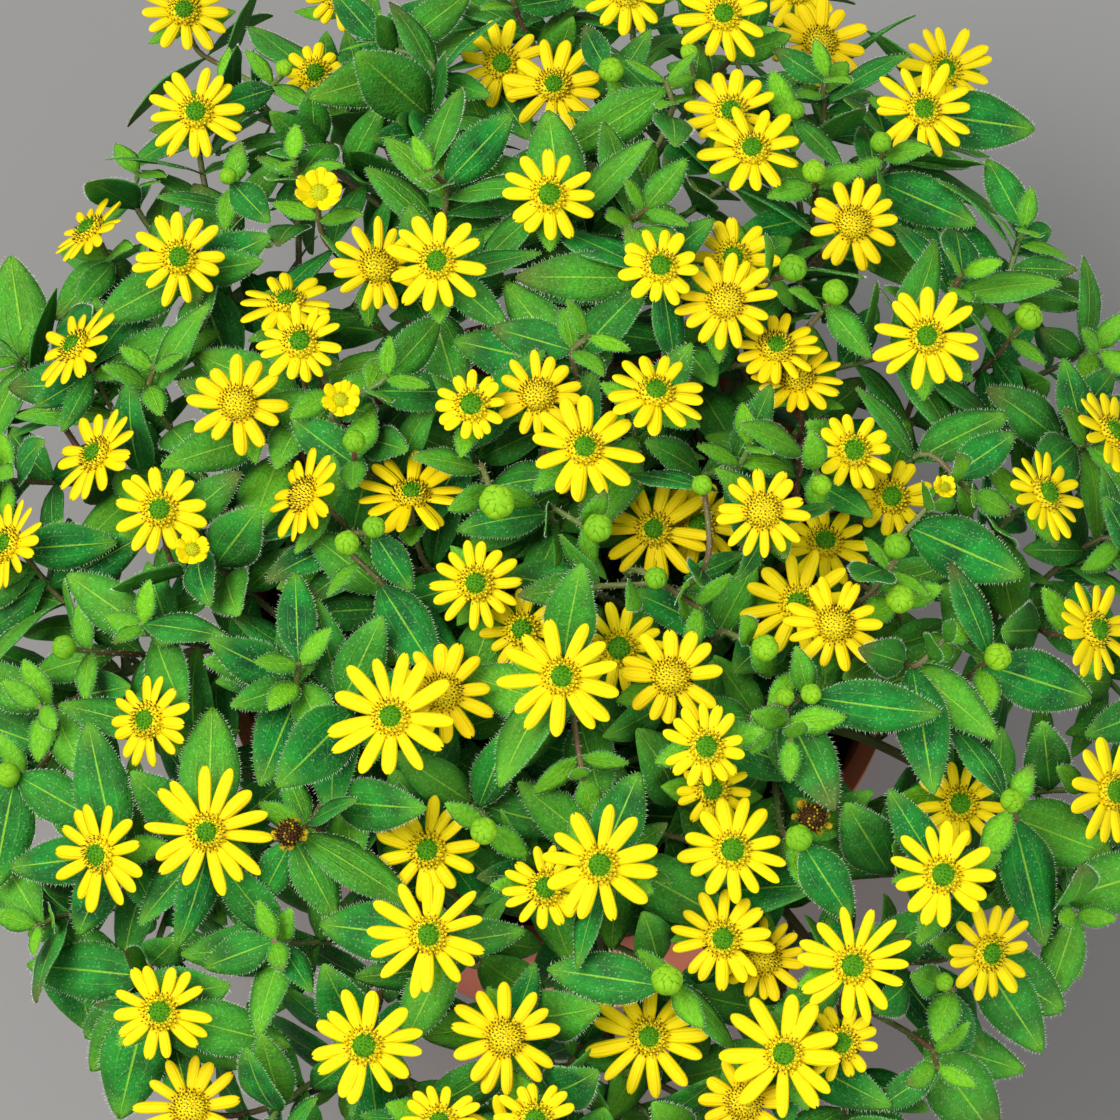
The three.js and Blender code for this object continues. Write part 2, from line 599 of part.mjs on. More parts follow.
// Corners in a ring round an axis, the first towards a given side
function ringOf(center, axis, toward, radius, count, height = 0, turn = 0) {
  const first = toward.clone().addScaledVector(axis, -toward.dot(axis)).normalize();
  const second = new THREE.Vector3().crossVectors(axis, first);
  return Array.from({ length: count }, (_, i) => {
    const angle = turn + (i / count) * 2 * Math.PI;
    return center.clone().addScaledVector(first, radius * Math.cos(angle))
      .addScaledVector(second, radius * Math.sin(angle)).addScaledVector(axis, height);
  });
}

// Builds one skin from rings of corners, stitching rings of unlike count by the angle of their corners
class Skin {
  constructor() {
    this.points = [];
    this.triangles = [];
  }

  add(corners) {
    corners.forEach((corner) => this.points.push(corner));
    return corners.map((_, i) => this.points.length - corners.length + i);
  }

  stitch(below, above) {
    let lower = 0;
    let upper = 0;
    while (lower < below.length || upper < above.length) {
      const a = below[lower % below.length];
      const b = above[upper % above.length];
      const isBehind = (lower + 0.5) / below.length <= (upper + 0.5) / above.length;
      if (upper >= above.length || (isBehind && lower < below.length)) {
        lower++;
        this.triangles.push([a, below[lower % below.length], b]);
      } else {
        upper++;
        this.triangles.push([a, above[upper % above.length], b]);
      }
    }
  }

  cap(ring, peak) {
    const top = this.add([peak])[0];
    ring.forEach((corner, i) => this.triangles.push([corner, ring[(i + 1) % ring.length], top]));
  }
}

// Ways to split the three sides of a spar into triangles: the corners in the order in which edges lean ahead
const leans = [[0, 1, 2], [1, 2, 0], [2, 0, 1], [0, 2, 1], [2, 1, 0], [1, 0, 2]];

// Sides of a three-sided spar from one triangle of corners to the next, split so that none folds inward
function sparSides(skin, near, far) {
  const room = (...corners) => {
    const [a, b, c, d] = corners.map((corner) => skin.points[corner].clone());
    return b.sub(a).cross(c.sub(a)).dot(d.sub(a));
  };
  const rooms = leans.map(([a, b, c], i) => {
    const sign = i < 3 ? 1 : -1;
    return Math.min(
      sign * room(near[a], near[b], near[c], far[c]),
      sign * room(near[b], near[a], far[b], far[c]),
      sign * room(near[a], far[a], far[b], far[c]),
    );
  });
  const order = leans[rooms.indexOf(Math.max(...rooms))];
  for (const [i, next] of [[0, 1], [1, 2], [2, 0]]) {
    if (order.indexOf(i) < order.indexOf(next)) {
      skin.triangles.push([near[i], far[i], far[next]], [near[i], far[next], near[next]]);
    } else skin.triangles.push([near[i], far[i], near[next]], [far[i], far[next], near[next]]);
  }
}

// Grows a leaf out of one side of a stem: six corners round it, an arched face and a keel beneath
function leafSkin(skin, blade, left0, right0, keel0) {
  const [left, right, keel] = skin.add(leafSection(blade, leaf.sections[0]));
  const [left2, right2, keel2] = skin.add(leafSection(blade, leaf.sections[1]));
  const tip = skin.add([leafPoint(blade, 1, 0)])[0];
  sparSides(skin, [right0, left0, keel0], [right, left, keel]);
  sparSides(skin, [right, left, keel], [right2, left2, keel2]);
  skin.triangles.push([right2, tip, left2], [keel2, left2, tip], [keel2, tip, right2]);
}

function leafSection(blade, t) {
  const normal = blade.face.clone().multiplyScalar(Math.cos(blade.droop * t))
    .addScaledVector(blade.run, Math.sin(blade.droop * t));
  const keel = leafPoint(blade, t, 0).addScaledVector(normal, -leaf.keel);
  return [leafPoint(blade, t, 1), leafPoint(blade, t, -1), keel];
}

// The sides of a stem at its leaves, each leaf growing out of the side that it leans to most
function stitchLeaves(skin, below, above, blades) {
  const count = below.length;
  const center = new THREE.Vector3();
  for (const corner of below) center.addScaledVector(skin.points[corner], 1 / count);
  const sides = below.map((corner, i) => {
    const middle = skin.points[corner].clone().add(skin.points[below[(i + 1) % count]]).multiplyScalar(0.5);
    return middle.sub(center).normalize();
  });
  const taken = new Map();
  for (const blade of blades) {
    const free = sides.map((side, i) => (taken.has(i) ? -1 : side.dot(blade.run)));
    const best = free.indexOf(Math.max(...free));
    if (free[best] > -0.1) taken.set(best, blade);
  }
  for (let i = 0; i < count; i++) {
    const next = (i + 1) % count;
    skin.triangles.push([below[i], below[next], above[next]]);
    if (taken.has(i)) leafSkin(skin, taken.get(i), above[next], above[i], below[i]);
    else skin.triangles.push([below[i], above[next], above[i]]);
  }
}

// A stem through its bends with its leaves, left open at the tip for what it carries
function stemSkin(stalk, blades) {
  const { bends, node, radius } = stalk;
  const skin = new Skin();
  const backs = bends.map((bend, i) => stemLength(bends.slice(i)));
  if (!backs.some((back) => Math.abs(back - node) < 0.01)) backs.push(node);
  if (blades.length) backs.push(node + leaf.seat);
  backs.sort((a, b) => b - a);
  let toward = new THREE.Vector3(0.3, 1, 0.2);
  let last = null;
  backs.forEach((back, i) => {
    const { spot } = alongStem(bends, back);
    const before = alongStem(bends, backs[Math.max(0, i - 1)]).spot;
    const after = alongStem(bends, backs[Math.min(backs.length - 1, i + 1)]).spot;
    const ring = skin.add(ringOf(spot, after.sub(before).normalize(), toward, radius, stem.sides));
    toward = skin.points[ring[0]].clone().sub(spot);
    if (!last) skin.triangles.push([ring[0], ring[2], ring[1]]);
    else if (blades.length && Math.abs(back - node) < 0.01) stitchLeaves(skin, last, ring, blades);
    else skin.stitch(last, ring);
    last = ring;
  });
  return { skin, last, toward };
}

function stemSolid(stalk, blades) {
  const { skin, last } = stemSkin(stalk, blades);
  skin.triangles.push([last[0], last[1], last[2]]);
  return solidOf(skin.points, skin.triangles);
}

// A bloom and its stem: petals with a raised rib round a domed disc of florets, over a green cup
function bloomSolid(head, blades) {
  const { facing, radius, spot } = head;
  const { skin, last, toward } = stemSkin(head.stalk, blades);
  const isCup = head.kind === 'cup';
  const { petals: count, halfWidth, rise: slope } = isCup ? opening : bloom;
  const eye = isCup ? radius * opening.eye : bloom.eye;
  const belly = radius * bloom.widest;
  const rise = (r) => (r - eye) * slope;
  const ring = (r, height, turn) => skin.add(ringOf(spot, facing, toward, r, count, height, turn));
  const half = Math.PI / count;
  const spread = Math.min(half * bloom.share, Math.asin(Math.min(1, halfWidth / belly)));
  const notches = ring(eye, bloom.notch, -half);
  const rights = ring(belly, rise(belly), -spread);
  const ends = ring(radius, rise(radius), 0);
  const lefts = ring(belly, rise(belly), spread);
  const florets = ring(isCup ? radius * opening.seeds : bloom.seeds, bloom.brow, 0);
  skin.stitch(last, notches);
  florets.forEach((floret, i) => skin.points[floret].addScaledVector(facing, i % 2 ? bloom.relief : 0));
  for (let i = 0; i < count; i++) {
    const next = (i + 1) % count;
    skin.triangles.push(
      [florets[i], notches[i], rights[i]], [florets[i], rights[i], ends[i]], [florets[i], ends[i], lefts[i]],
      [florets[i], lefts[i], notches[next]], [florets[i], notches[next], florets[next]],
      [ends[i], notches[next], lefts[i]], [ends[i], notches[i], notches[next]],
      [ends[i], rights[i], notches[i]],
    );
  }
  skin.cap(florets, spot.clone().addScaledVector(facing, bloom.dome));
  return solidOf(skin.points, skin.triangles);
}

function budSolid(head, blades) {
  const { facing, radius, spot } = head;
  const { skin, last, toward } = stemSkin(head.stalk, blades);
  const ring = (r, height, turn) => skin.add(ringOf(spot, facing, toward, r, bud.sides, height, turn));
  const belly = ring(radius, radius * bud.belly, 0);
  const brow = ring(radius * bud.browWidth, radius * bud.brow, Math.PI / bud.sides);
  skin.stitch(last, belly);
  skin.stitch(belly, brow);
  skin.cap(brow, spot.clone().addScaledVector(facing, radius * bud.peak));
  return solidOf(skin.points, skin.triangles);
}

function headSolid(head, blades) {
  if (head.kind === 'shoot') return stemSolid(head.stalk, blades);
  return head.kind === 'bud' ? budSolid(head, blades) : bloomSolid(head, blades);
}

// Only the outermost skin of a joined solid is kept: sealed hollows in it are filled
function outerSkin(solid) {
  return solid.decompose().reduce((kept, piece) => (piece.volume() > kept.volume() ? piece : kept));
}

// What is built so far, for leaving out a leaf that would still cross another spray
const crowd = [];

function addToCrowd(solid, spray) {
  crowd.push({ solid, spray, box: solid.boundingBox() });
}

function boxesMeet(a, b) {
  return [0, 1, 2].every((k) => a.min[k] < b.max[k] + clear.sprays && b.min[k] < a.max[k] + clear.sprays);
}

function crosses(solid, spray) {
  const box = solid.boundingBox();
  return crowd.some((other) => other.spray !== spray && boxesMeet(box, other.box)
    && solid.minGap(other.solid, clear.sprays) < clear.sprays * 0.9);
}

// Whether the solid's skin folds through itself: just behind every face is solid, just in front is none
function folds(solid) {
  const { vertProperties, triVerts } = solid.getMesh();
  const corners = Array.from(triVerts, (v) => new THREE.Vector3().fromArray(vertProperties, v * 3));
  const faces = Array.from({ length: corners.length / 3 }, (_, i) => corners.slice(i * 3, i * 3 + 3));
  const turnsRound = (spot) => faces.reduce((sum, face) => {
    const [a, b, c] = face.map((corner) => corner.clone().sub(spot));
    const [x, y, z] = [a.length(), b.length(), c.length()];
    const below = x * y * z + a.dot(b) * z + b.dot(c) * x + c.dot(a) * y;
    return sum + Math.atan2(a.dot(b.clone().cross(c)), below) / (2 * Math.PI);
  }, 0);
  return faces.some(([a, b, c]) => {
    const normal = b.clone().sub(a).cross(c.clone().sub(a)).normalize();
    const middle = a.clone().add(b).add(c).multiplyScalar(1 / 3);
    return turnsRound(middle.clone().addScaledVector(normal, -clear.skin)) < 0.5
      || turnsRound(middle.addScaledVector(normal, clear.skin)) > 0.5;
  });
}

// The solid with as many of its leaves as clear the other sprays and its own skin
function leafy(build, stalk, spray) {
  let solid = null;
  for (const blades of [stalk.leaves, stalk.leaves.slice(0, 1), stalk.leaves.slice(1), []]) {
    solid = build(blades);
    if (!crosses(solid, spray) && !folds(solid)) break;
  }
  addToCrowd(solid, spray);
  return solid;
}

for (const spray of sprays) addToCrowd(stemSolid(spray.stalk, []), spray);
for (const head of heads) addToCrowd(headSolid(head, []), head.spray);
for (const spray of sprays) spray.solids = [];
for (const head of heads) {
  head.spray.solids.push(leafy((blades) => headSolid(head, blades), head.stalk, head.spray));
}
for (const spray of sprays) {
  spray.solids.push(leafy((blades) => stemSolid(spray.stalk, blades), spray.stalk, spray));
}

const potPaint = new THREE.MeshStandardMaterial({ color: 0xc8593a, roughness: 0.65, metalness: 0 });
const soilPaint = new THREE.MeshStandardMaterial({ color: 0x2c211a, roughness: 0.95, metalness: 0 });
const leafPaint = new THREE.MeshStandardMaterial({ color: 0x4f8f2a, roughness: 0.6, metalness: 0 });

function named(name, geometry, paint) {
  const mesh = new THREE.Mesh(geometry, paint);
  mesh.name = name;
  return mesh;
}

// Wall radius of the pot, outside, at a height
function potRadius(height) {
  return pot.foot + (pot.rim - pot.bandOut - pot.foot) * (height / (pot.height - pot.band));
}

function potGeometry() {
  const shoulder = pot.height - pot.band;
  const inner = (height) => potRadius(height) - pot.wall;
  const profile = [
    [0, 0], [pot.pad, 0], [pot.pad, pot.recess], [pot.foot - pot.footRing, pot.recess],
    [pot.foot - pot.footRing, 0], [pot.foot, 0], [potRadius(shoulder), shoulder],
    [pot.rim - pot.bandStep, shoulder], [pot.rim, pot.height - pot.lip], [pot.rim, pot.height],
    [pot.rim - pot.bandWall, pot.height], [inner(shoulder), shoulder - pot.recess],
    [inner(pot.floor), pot.floor], [0, pot.floor],
  ].map(([x, y]) => new THREE.Vector2(x, y));
  const lathe = new THREE.LatheGeometry(profile, pot.facets).rotateX(Math.PI / 2);
  let shell = solidFrom(lathe);
  for (let i = 0; i < pot.drains; i++) {
    const turn = (i / pot.drains) * 2 * Math.PI;
    const drill = new THREE.CylinderGeometry(pot.drain, pot.drain, pot.floor * 2, pot.drainSides);
    drill.rotateX(Math.PI / 2);
    drill.translate(pot.drainRing * Math.cos(turn), pot.drainRing * Math.sin(turn), pot.floor / 2);
    shell = shell.subtract(solidFrom(drill));
  }
  return geometryFrom(shell);
}

function soilGeometry() {
  const inner = (height) => potRadius(height) - pot.wall - soil.gap;
  const low = pot.floor + soil.gap;
  const bend = pot.height - pot.band - pot.recess;
  const profile = [
    [0, low], [inner(low), low], [inner(bend), bend - soil.gap],
    [inner(bend) - soil.edge, soil.shoulder - soil.dip], [0, soil.shoulder + soil.crown],
  ].map(([x, y]) => new THREE.Vector2(x, y));
  const lathe = new THREE.LatheGeometry(profile, pot.facets).rotateX(Math.PI / 2);
  let ball = solidFrom(lathe);
  for (const spray of sprays) {
    const bore = new THREE.CylinderGeometry(hole.radius, hole.radius, hole.depth + hole.above, hole.sides);
    bore.rotateX(Math.PI / 2);
    bore.translate(spray.foot.x, spray.foot.y, soil.shoulder + (hole.above - hole.depth) / 2);
    ball = ball.subtract(solidFrom(bore));
  }
  return geometryFrom(ball);
}

const plant = new THREE.Group();
plant.add(named('pot', potGeometry(), potPaint));
plant.add(named('soil', soilGeometry(), soilPaint));
for (const [index, spray] of sprays.entries()) {
  const joined = outerSkin(outerSkin(Manifold.union(spray.solids)).simplify(clear.fine));
  const name = `spray_${['inner', 'middle', 'outer'][spray.ring]}_${index + 1}`;
  plant.add(named(name, geometryFrom(joined), leafPaint));
}

export default plant;
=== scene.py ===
import math

import bpy
import numpy as np
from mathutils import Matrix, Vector


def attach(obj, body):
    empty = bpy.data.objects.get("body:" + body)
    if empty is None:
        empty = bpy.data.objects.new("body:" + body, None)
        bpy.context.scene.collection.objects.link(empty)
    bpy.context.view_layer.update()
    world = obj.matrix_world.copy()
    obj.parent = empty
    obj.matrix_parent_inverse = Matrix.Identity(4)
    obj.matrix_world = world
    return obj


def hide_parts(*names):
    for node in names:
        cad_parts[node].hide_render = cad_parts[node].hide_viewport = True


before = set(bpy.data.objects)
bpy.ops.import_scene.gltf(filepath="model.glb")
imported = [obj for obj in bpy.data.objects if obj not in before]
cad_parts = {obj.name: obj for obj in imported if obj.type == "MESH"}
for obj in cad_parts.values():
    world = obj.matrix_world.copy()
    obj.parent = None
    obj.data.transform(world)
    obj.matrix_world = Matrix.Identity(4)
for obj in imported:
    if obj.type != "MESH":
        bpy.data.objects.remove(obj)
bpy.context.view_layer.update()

# Potted creeping zinnia. The growth is worked out in millimetres, as the solids were, and made in metres
mm = 0.001
plantBody = "root"
up = np.array((0.0, 0.0, 1.0))

# Driving sizes of the growth, the same as those of the solids
pot = {"rim": 65, "height": 100, "band": 16, "bandStep": 1.8, "bandOut": 4.3, "bandWall": 3.2, "lip": 2,
       "foot": 45, "wall": 2, "footRing": 4, "recess": 3, "recessRound": 12, "floor": 6, "drains": 6,
       "drain": 4, "drainRing": 30}
soil = {"gap": 0.3, "shoulder": 87, "crown": 4, "edge": 1, "dip": 2.5}
crown = {"top": 172, "fall": 35, "across": 103, "deep": 121, "brink": 1.02, "drop": 110, "lowest": 92}
bloomSize = {"cup": 2.6, "cupWidth": 1.7, "thick": 1.1}
stemSize = {"main": 1.9, "side": 0.95, "apart": 4.4, "upright": 9, "sink": 11}
clear = {"leaves": 1.05, "petals": 1.95, "stems": 0.8}
picture = {"middle": 560, "pointsPerMm": 5.6, "pitch": math.radians(66), "distance": 900,
           "aim": np.array((0.0, -14.0, 160.0)), "left": 150, "right": 970, "top": -25, "bottom": 1145}

# Open blooms in the picture: across, down, how wide they look, how far they turn up and to the right in
# degrees, how many millimetres they sit below the crown, and their age
blooms = [
    (184, 11, 104, 15, 0, 0, 1), (263, 19, 105, 20, 0, 0, 1), (196, 113, 108, 12, 0, 0, 1),
    (315, 74, 70, 8, 0, 13, 1), (338, -5, 80, 8, 0, 13, 1), (502, 64, 95, 8, 0, 12, 1),
    (554, 86, 110, 15, 0, 0, 1.5), (549, 195, 98, 5, 0, 0, 0.7), (437, 262, 105, 8, 0, 0, 1),
    (378, 267, 100, 8, 0, 7, 2), (179, 258, 100, 8, 0, 0, 1), (287, 303, 100, 50, 0, 6, 1),
    (300, 343, 88, 20, 0, 0, 1), (238, 404, 100, 8, 0, 0, 2), (471, 406, 75, 15, 0, 3, 0.6),
    (538, 396, 92, 15, 0, 4, 2), (626, -8, 95, 8, 0, 0, 1), (723, 15, 108, 12, 0, 0, 1),
    (797, -10, 95, 8, 0, 0, 1), (820, 43, 105, 8, 0, 7, 2), (731, 112, 100, 15, 0, 7, 1),
    (752, 150, 110, 25, 0, 0, 1), (923, 110, 110, 10, 0, 0, 1), (945, 70, 110, 8, 0, 4, 1),
    (660, 267, 84, 15, 0, 0, 0.8), (726, 302, 104, 8, 0, 0, 1.8), (733, 258, 95, 8, 0, 11, 1),
    (853, 224, 98, 8, 0, 7, 2), (927, 337, 114, 8, 0, 0, 1), (776, 348, 88, 30, 0, 1.5, 1.6),
    (797, 378, 92, 35, 0, 6, 2), (656, 393, 105, 35, 0, 0, 1), (304, 495, 98, 20, -45, 3, 2),
    (411, 495, 113, 42, 0, 0, 1.7), (160, 510, 95, 8, 0, 3, 1), (476, 584, 90, 8, 0, 11, 1),
    (391, 717, 127, 10, 0, 0, 1), (443, 693, 105, 10, 0, 7, 2), (561, 677, 120, 8, 0, 0, 1),
    (522, 630, 80, 8, 0, 11, 1), (584, 448, 116, 15, 0, 0, 1), (654, 530, 118, 12, 0, 0, 1.3),
    (698, 525, 92, 8, 0, 8, 1), (763, 511, 92, 5, 0, 0, 1.9), (853, 451, 84, 10, 10, 0, 0.8),
    (891, 497, 85, 8, 0, 11, 1), (825, 543, 95, 30, 0, 10, 1), (798, 604, 112, 8, 0, 0, 0.9),
    (835, 625, 98, 10, 0, 5, 1.8), (619, 649, 95, 8, 0, 8, 0.5), (671, 677, 100, 8, 0, 7, 1.8),
    (706, 747, 84, 5, 0, 0, 0.8), (599, 865, 114, 5, 0, 0, 0.8), (732, 850, 106, 8, 0, 0, 0.6),
    (713, 790, 75, 8, 0, 8, 1), (722, 939, 104, 8, 10, 0, 1), (762, 958, 90, 15, 0, 8, 1.8),
    (853, 966, 115, 8, 0, 0, 0.8), (841, 1043, 78, 8, 0, 8, 1), (943, 875, 108, 8, 0, 0, 0.7),
    (960, 804, 90, 8, 0, 0, 1), (649, 1037, 122, 8, 0, 0, 1.2), (784, 1054, 122, 8, 0, 0, 0.8),
    (744, 1102, 90, 8, 0, 10, 2), (535, 1120, 80, 8, 0, 0, 1), (207, 832, 128, 5, 0, 0, 1.3),
    (428, 850, 102, 5, -8, 0, 1), (428, 935, 120, 5, 0, 0, 1), (364, 1046, 110, 8, 0, 0, 0.7),
    (505, 1038, 110, 8, 0, 0, 2), (160, 1012, 100, 8, 0, 0, 1), (190, 1108, 108, 8, 0, 4, 2),
    (440, 1123, 80, 8, 0, 0, 1), (546, 888, 85, 8, 0, 8, 1),
]

# Heads that are only opening, and withered ones: across, down, how wide they look and their age
cups = [(319, 193, 46, 0), (340, 400, 36, 0), (192, 550, 34, 0), (944, 488, 24, 0), (290, 834, 34, 3),
        (812, 818, 38, 3)]

# Closed round buds: across, down and how wide they look
buds = [
    (228, 176, 18), (284, 68, 18), (611, 70, 26), (689, 52, 18), (795, 110, 20), (814, 171, 24),
    (881, 142, 22), (793, 268, 28), (835, 292, 26), (354, 441, 22), (347, 543, 24), (374, 527, 22),
    (497, 502, 34), (598, 528, 28), (656, 578, 22), (702, 485, 20), (821, 485, 20), (897, 546, 26),
    (900, 599, 28), (765, 648, 26), (785, 697, 18), (811, 694, 20), (484, 831, 26), (667, 980, 30),
    (799, 838, 26), (944, 982, 18),
]

# Openings in the foliage, through which the pot and the soil show: across, down, wide and tall. The solids'
# leaves keep the first two free and the finer leaves the others
solidWindows = [(900, 757, 104, 52), (905, 1035, 70, 60)]
fineWindows = [(866, 757, 72, 56), (890, 1040, 56, 52)]

rings = [
    {"within": 38, "count": 4, "foot": 8, "knee": 11, "kneeHeight": 118, "reach": 20, "height": 140},
    {"within": 76, "count": 9, "foot": 22, "knee": 32, "kneeHeight": 112, "reach": 54, "height": 132},
    {"within": 999, "count": 13, "foot": 40, "knee": 60, "kneeHeight": 116, "reach": 92, "height": 112},
]
ringNames = ["inner", "middle", "outer"]
ringTwist, arch = 0.35, 4
goldenTurn = math.radians(137.508)

seed = 20817


def draw(low, high):  # the same seeded draws, in the same order, as in the solids
    global seed
    seed = (seed * 16807) % 2147483647
    return low + ((high - low) * seed) / 2147483647


def unit(v):
    return v / np.linalg.norm(v)


def dot(a, b):
    return np.einsum("...k,...k->...", a, b)


ahead = np.array((0.0, math.cos(picture["pitch"]), -math.sin(picture["pitch"])))
pictureUp = np.array((0.0, math.sin(picture["pitch"]), math.cos(picture["pitch"])))
eyePoint = picture["aim"] - ahead * picture["distance"]


def reachOf(x, y):
    return math.hypot(x / crown["across"], y / crown["deep"])


def crownHeight(x, y):
    reach = reachOf(x, y)
    return crown["top"] - crown["fall"] * reach * reach - crown["drop"] * max(0, reach - crown["brink"])


def fromPicture(across, down, sunk):
    ray = ahead * picture["distance"]
    ray = ray + np.array(((across - picture["middle"]) / picture["pointsPerMm"], 0, 0))
    ray = ray + pictureUp * ((picture["middle"] - down) / picture["pointsPerMm"])
    height = crown["top"]
    for turn in range(14):
        spot = eyePoint + ray * ((height - eyePoint[2]) / ray[2])
        height = max(crown["lowest"], crownHeight(spot[0], spot[1]) - sunk)
    return spot


def toPicture(spots):
    away = spots - eyePoint
    scale = picture["distance"] / (away @ ahead) * picture["pointsPerMm"]
    return picture["middle"] + away[..., 0] * scale, picture["middle"] - (away @ pictureUp) * scale


def outward(spot):
    return unit(np.array((spot[0], spot[1], 0.0)))


def headFacing(right, turn):
    side, lift = math.radians(right), math.radians(turn)
    facing = ahead * -math.cos(side) * math.cos(lift)
    facing[0] += math.sin(side) * math.cos(lift)
    return unit(facing + pictureUp * math.sin(lift))


# Heads: blooms, cups and buds of the picture, and more of them round the sides on a spiral
tips = []


def addTip(kind, across, down, sunk, facing, radius, age):
    tips.append({"kind": kind, "across": across, "down": down, "sunk": sunk, "facing": facing,
                 "radius": radius, "age": age})


for across, down, wide in buds:
    facing = headFacing(draw(-18, 18), draw(0, 35))
    addTip("bud", across, down, 3, facing, wide / picture["pointsPerMm"] / 2, 0)
for across, down, wide, age in cups:
    facing = headFacing(draw(-12, 12), draw(5, 25))
    addTip("cup", across, down, 3, facing, wide / picture["pointsPerMm"] / 2, age)
for across, down, wide, turn, right, sunk, age in blooms:
    facing = headFacing(right + draw(-6, 6), turn)
    addTip("bloom", across, down, sunk, facing, wide / picture["pointsPerMm"] / 2, age)

spiral = {"count": 84, "edge": 1.06, "inner": 0.55, "lean": 0.9}
for i in range(spiral["count"]):
    reach = spiral["edge"] * math.sqrt((i + 0.5) / spiral["count"])
    x = crown["across"] * reach * math.cos(i * goldenTurn)
    y = crown["deep"] * reach * math.sin(i * goldenTurn)
    spot = np.array((x, y, crownHeight(x, y)))
    across, down = toPicture(spot)
    wide, sunk, chance = draw(17, 21), draw(0, 5), draw(0, 1)
    isSeen = picture["left"] < across < picture["right"] and picture["top"] < down < picture["bottom"]
    if isSeen or reach < spiral["inner"]:
        continue
    facing = unit(up + outward(spot) * reach * spiral["lean"])
    kind = "bloom" if chance < 0.5 else "bud"
    addTip(kind, across, down, sunk, facing, wide / 2 if kind == "bloom" else wide / 8, 0.5 + chance * 2)

room = {"tries": 22, "step": 1.1, "aroundBud": 2.4, "betweenBlooms": 3.1, "besideBud": 0.4,
        "overlap": -0.6, "tilt": 0.6}


def sinkClear(tip, earlier):  # deep enough to clear the heads before it, along its line of sight
    spots = np.array([head["spot"] for head in earlier]).reshape(-1, 3)
    facings = np.array([head["facing"] for head in earlier]).reshape(-1, 3)
    radii = np.array([head["radius"] for head in earlier])
    hasBud = np.array([head["kind"] == "bud" or tip["kind"] == "bud" for head in earlier], bool)
    thick = np.where(hasBud, tip["radius"] + room["aroundBud"], room["betweenBlooms"])
    reach = tip["radius"] + radii + np.where(hasBud, room["besideBud"], room["overlap"])
    for attempt in range(room["tries"]):
        tip["spot"] = fromPicture(tip["across"], tip["down"], tip["sunk"])
        away = tip["spot"] - spots
        depth = dot(away, facings)
        lateral = np.linalg.norm(away - facings * depth[:, None], axis=1)
        tilt = np.sqrt(np.maximum(0, 1 - (facings @ tip["facing"]) ** 2)) * room["tilt"]
        isLevel = (depth > -(thick + tip["radius"] * tilt)) & (depth < thick + radii * tilt)
        if not (isLevel & (lateral < reach)).any():
            return True
        tip["sunk"] += room["step"]
    return False


heads = []
for tip in sorted(tips, key=lambda tip: tip["sunk"] + (0 if tip["kind"] == "bloom" else -9)):
    if sinkClear(tip, heads):
        heads.append(tip)

shoots = {"count": 200, "edge": 1.12, "apart": 24, "headGap": 4.5, "layer": 16, "turn": 1, "lean": 0.8,
          "radius": 1.2}
for i in range(shoots["count"]):
    reach = shoots["edge"] * math.sqrt((i + 0.5) / shoots["count"])
    x = crown["across"] * reach * math.cos(i * goldenTurn + shoots["turn"])
    y = crown["deep"] * reach * math.sin(i * goldenTurn + shoots["turn"])
    spot = np.array((x, y, crownHeight(x, y) - draw(3, 9)))
    facing = up + outward(spot) * reach * shoots["lean"]
    facing = unit(facing + np.array((draw(-0.25, 0.25), draw(-0.25, 0.25), 0)))
    away = spot - np.array([head["spot"] for head in heads])
    facings = np.array([head["facing"] for head in heads])
    depth = dot(away, facings)
    lateral = np.linalg.norm(away - facings * depth[:, None], axis=1)
    apart = np.array([shoots["apart"] if head["kind"] == "shoot" else head["radius"] + shoots["headGap"]
                      for head in heads])
    if not ((lateral < apart) & (abs(depth) < shoots["layer"])).any():
        heads.append({"kind": "shoot", "spot": spot, "facing": facing, "radius": shoots["radius"],
                      "age": 0})
print("heads", len(heads))

headSpots = np.array([head["spot"] for head in heads])
headFacings = np.array([head["facing"] for head in heads])
headRadii = np.array([head["radius"] for head in heads])
isBloom = np.array([head["kind"] == "bloom" for head in heads])
isRound = np.array([head["kind"] in ("bud", "cup") for head in heads])


# Stems: rows of bends, read from the tip back
def stemLength(bends):
    return sum(np.linalg.norm(b - a) for a, b in zip(bends, bends[1:]))


def alongStem(bends, back):
    for i in range(len(bends) - 1, 0, -1):
        axis = bends[i] - bends[i - 1]
        length = np.linalg.norm(axis)
        axis = axis / length
        if back <= length or i == 1:
            return bends[i] - axis * back, axis
        back -= length


def stemPlaces(bends, backs):
    steps = [np.linalg.norm(b - a) for a, b in zip(bends, bends[1:])][::-1]
    marks = np.concatenate(([0], np.cumsum(steps)))
    tipFirst = np.array(bends[::-1])
    return np.stack([np.interp(backs, marks, tipFirst[:, k]) for k in range(3)], axis=1)


stemSpots, stemRadii, stemOwners = np.zeros((0, 3)), np.zeros(0), np.zeros(0, int)


def markStem(stalk, every):
    global stemSpots, stemRadii, stemOwners
    spots = stemPlaces(stalk["bends"], np.arange(0, stemLength(stalk["bends"]), every))
    stemSpots = np.concatenate((stemSpots, spots))
    stemRadii = np.concatenate((stemRadii, np.full(len(spots), stalk["radius"])))
    stemOwners = np.concatenate((stemOwners, np.full(len(spots), stalk["id"])))


leafSizes = {
    "bloom": {"at": 11, "length": 22, "lift": 32},
    "cup": {"at": 8, "length": 19, "lift": 34},
    "bud": {"at": 7, "length": 17, "lift": 38},
    "shoot": {"at": 4, "length": 20, "lift": 40},
    "main": {"at": 4, "length": 25, "lift": 22},
}
sprays = []
stalks = []


def newStalk(bends, node, radius):
    stalk = {"id": len(stalks), "bends": bends, "node": node, "radius": radius, "leaves": []}
    stalks.append(stalk)
    return stalk


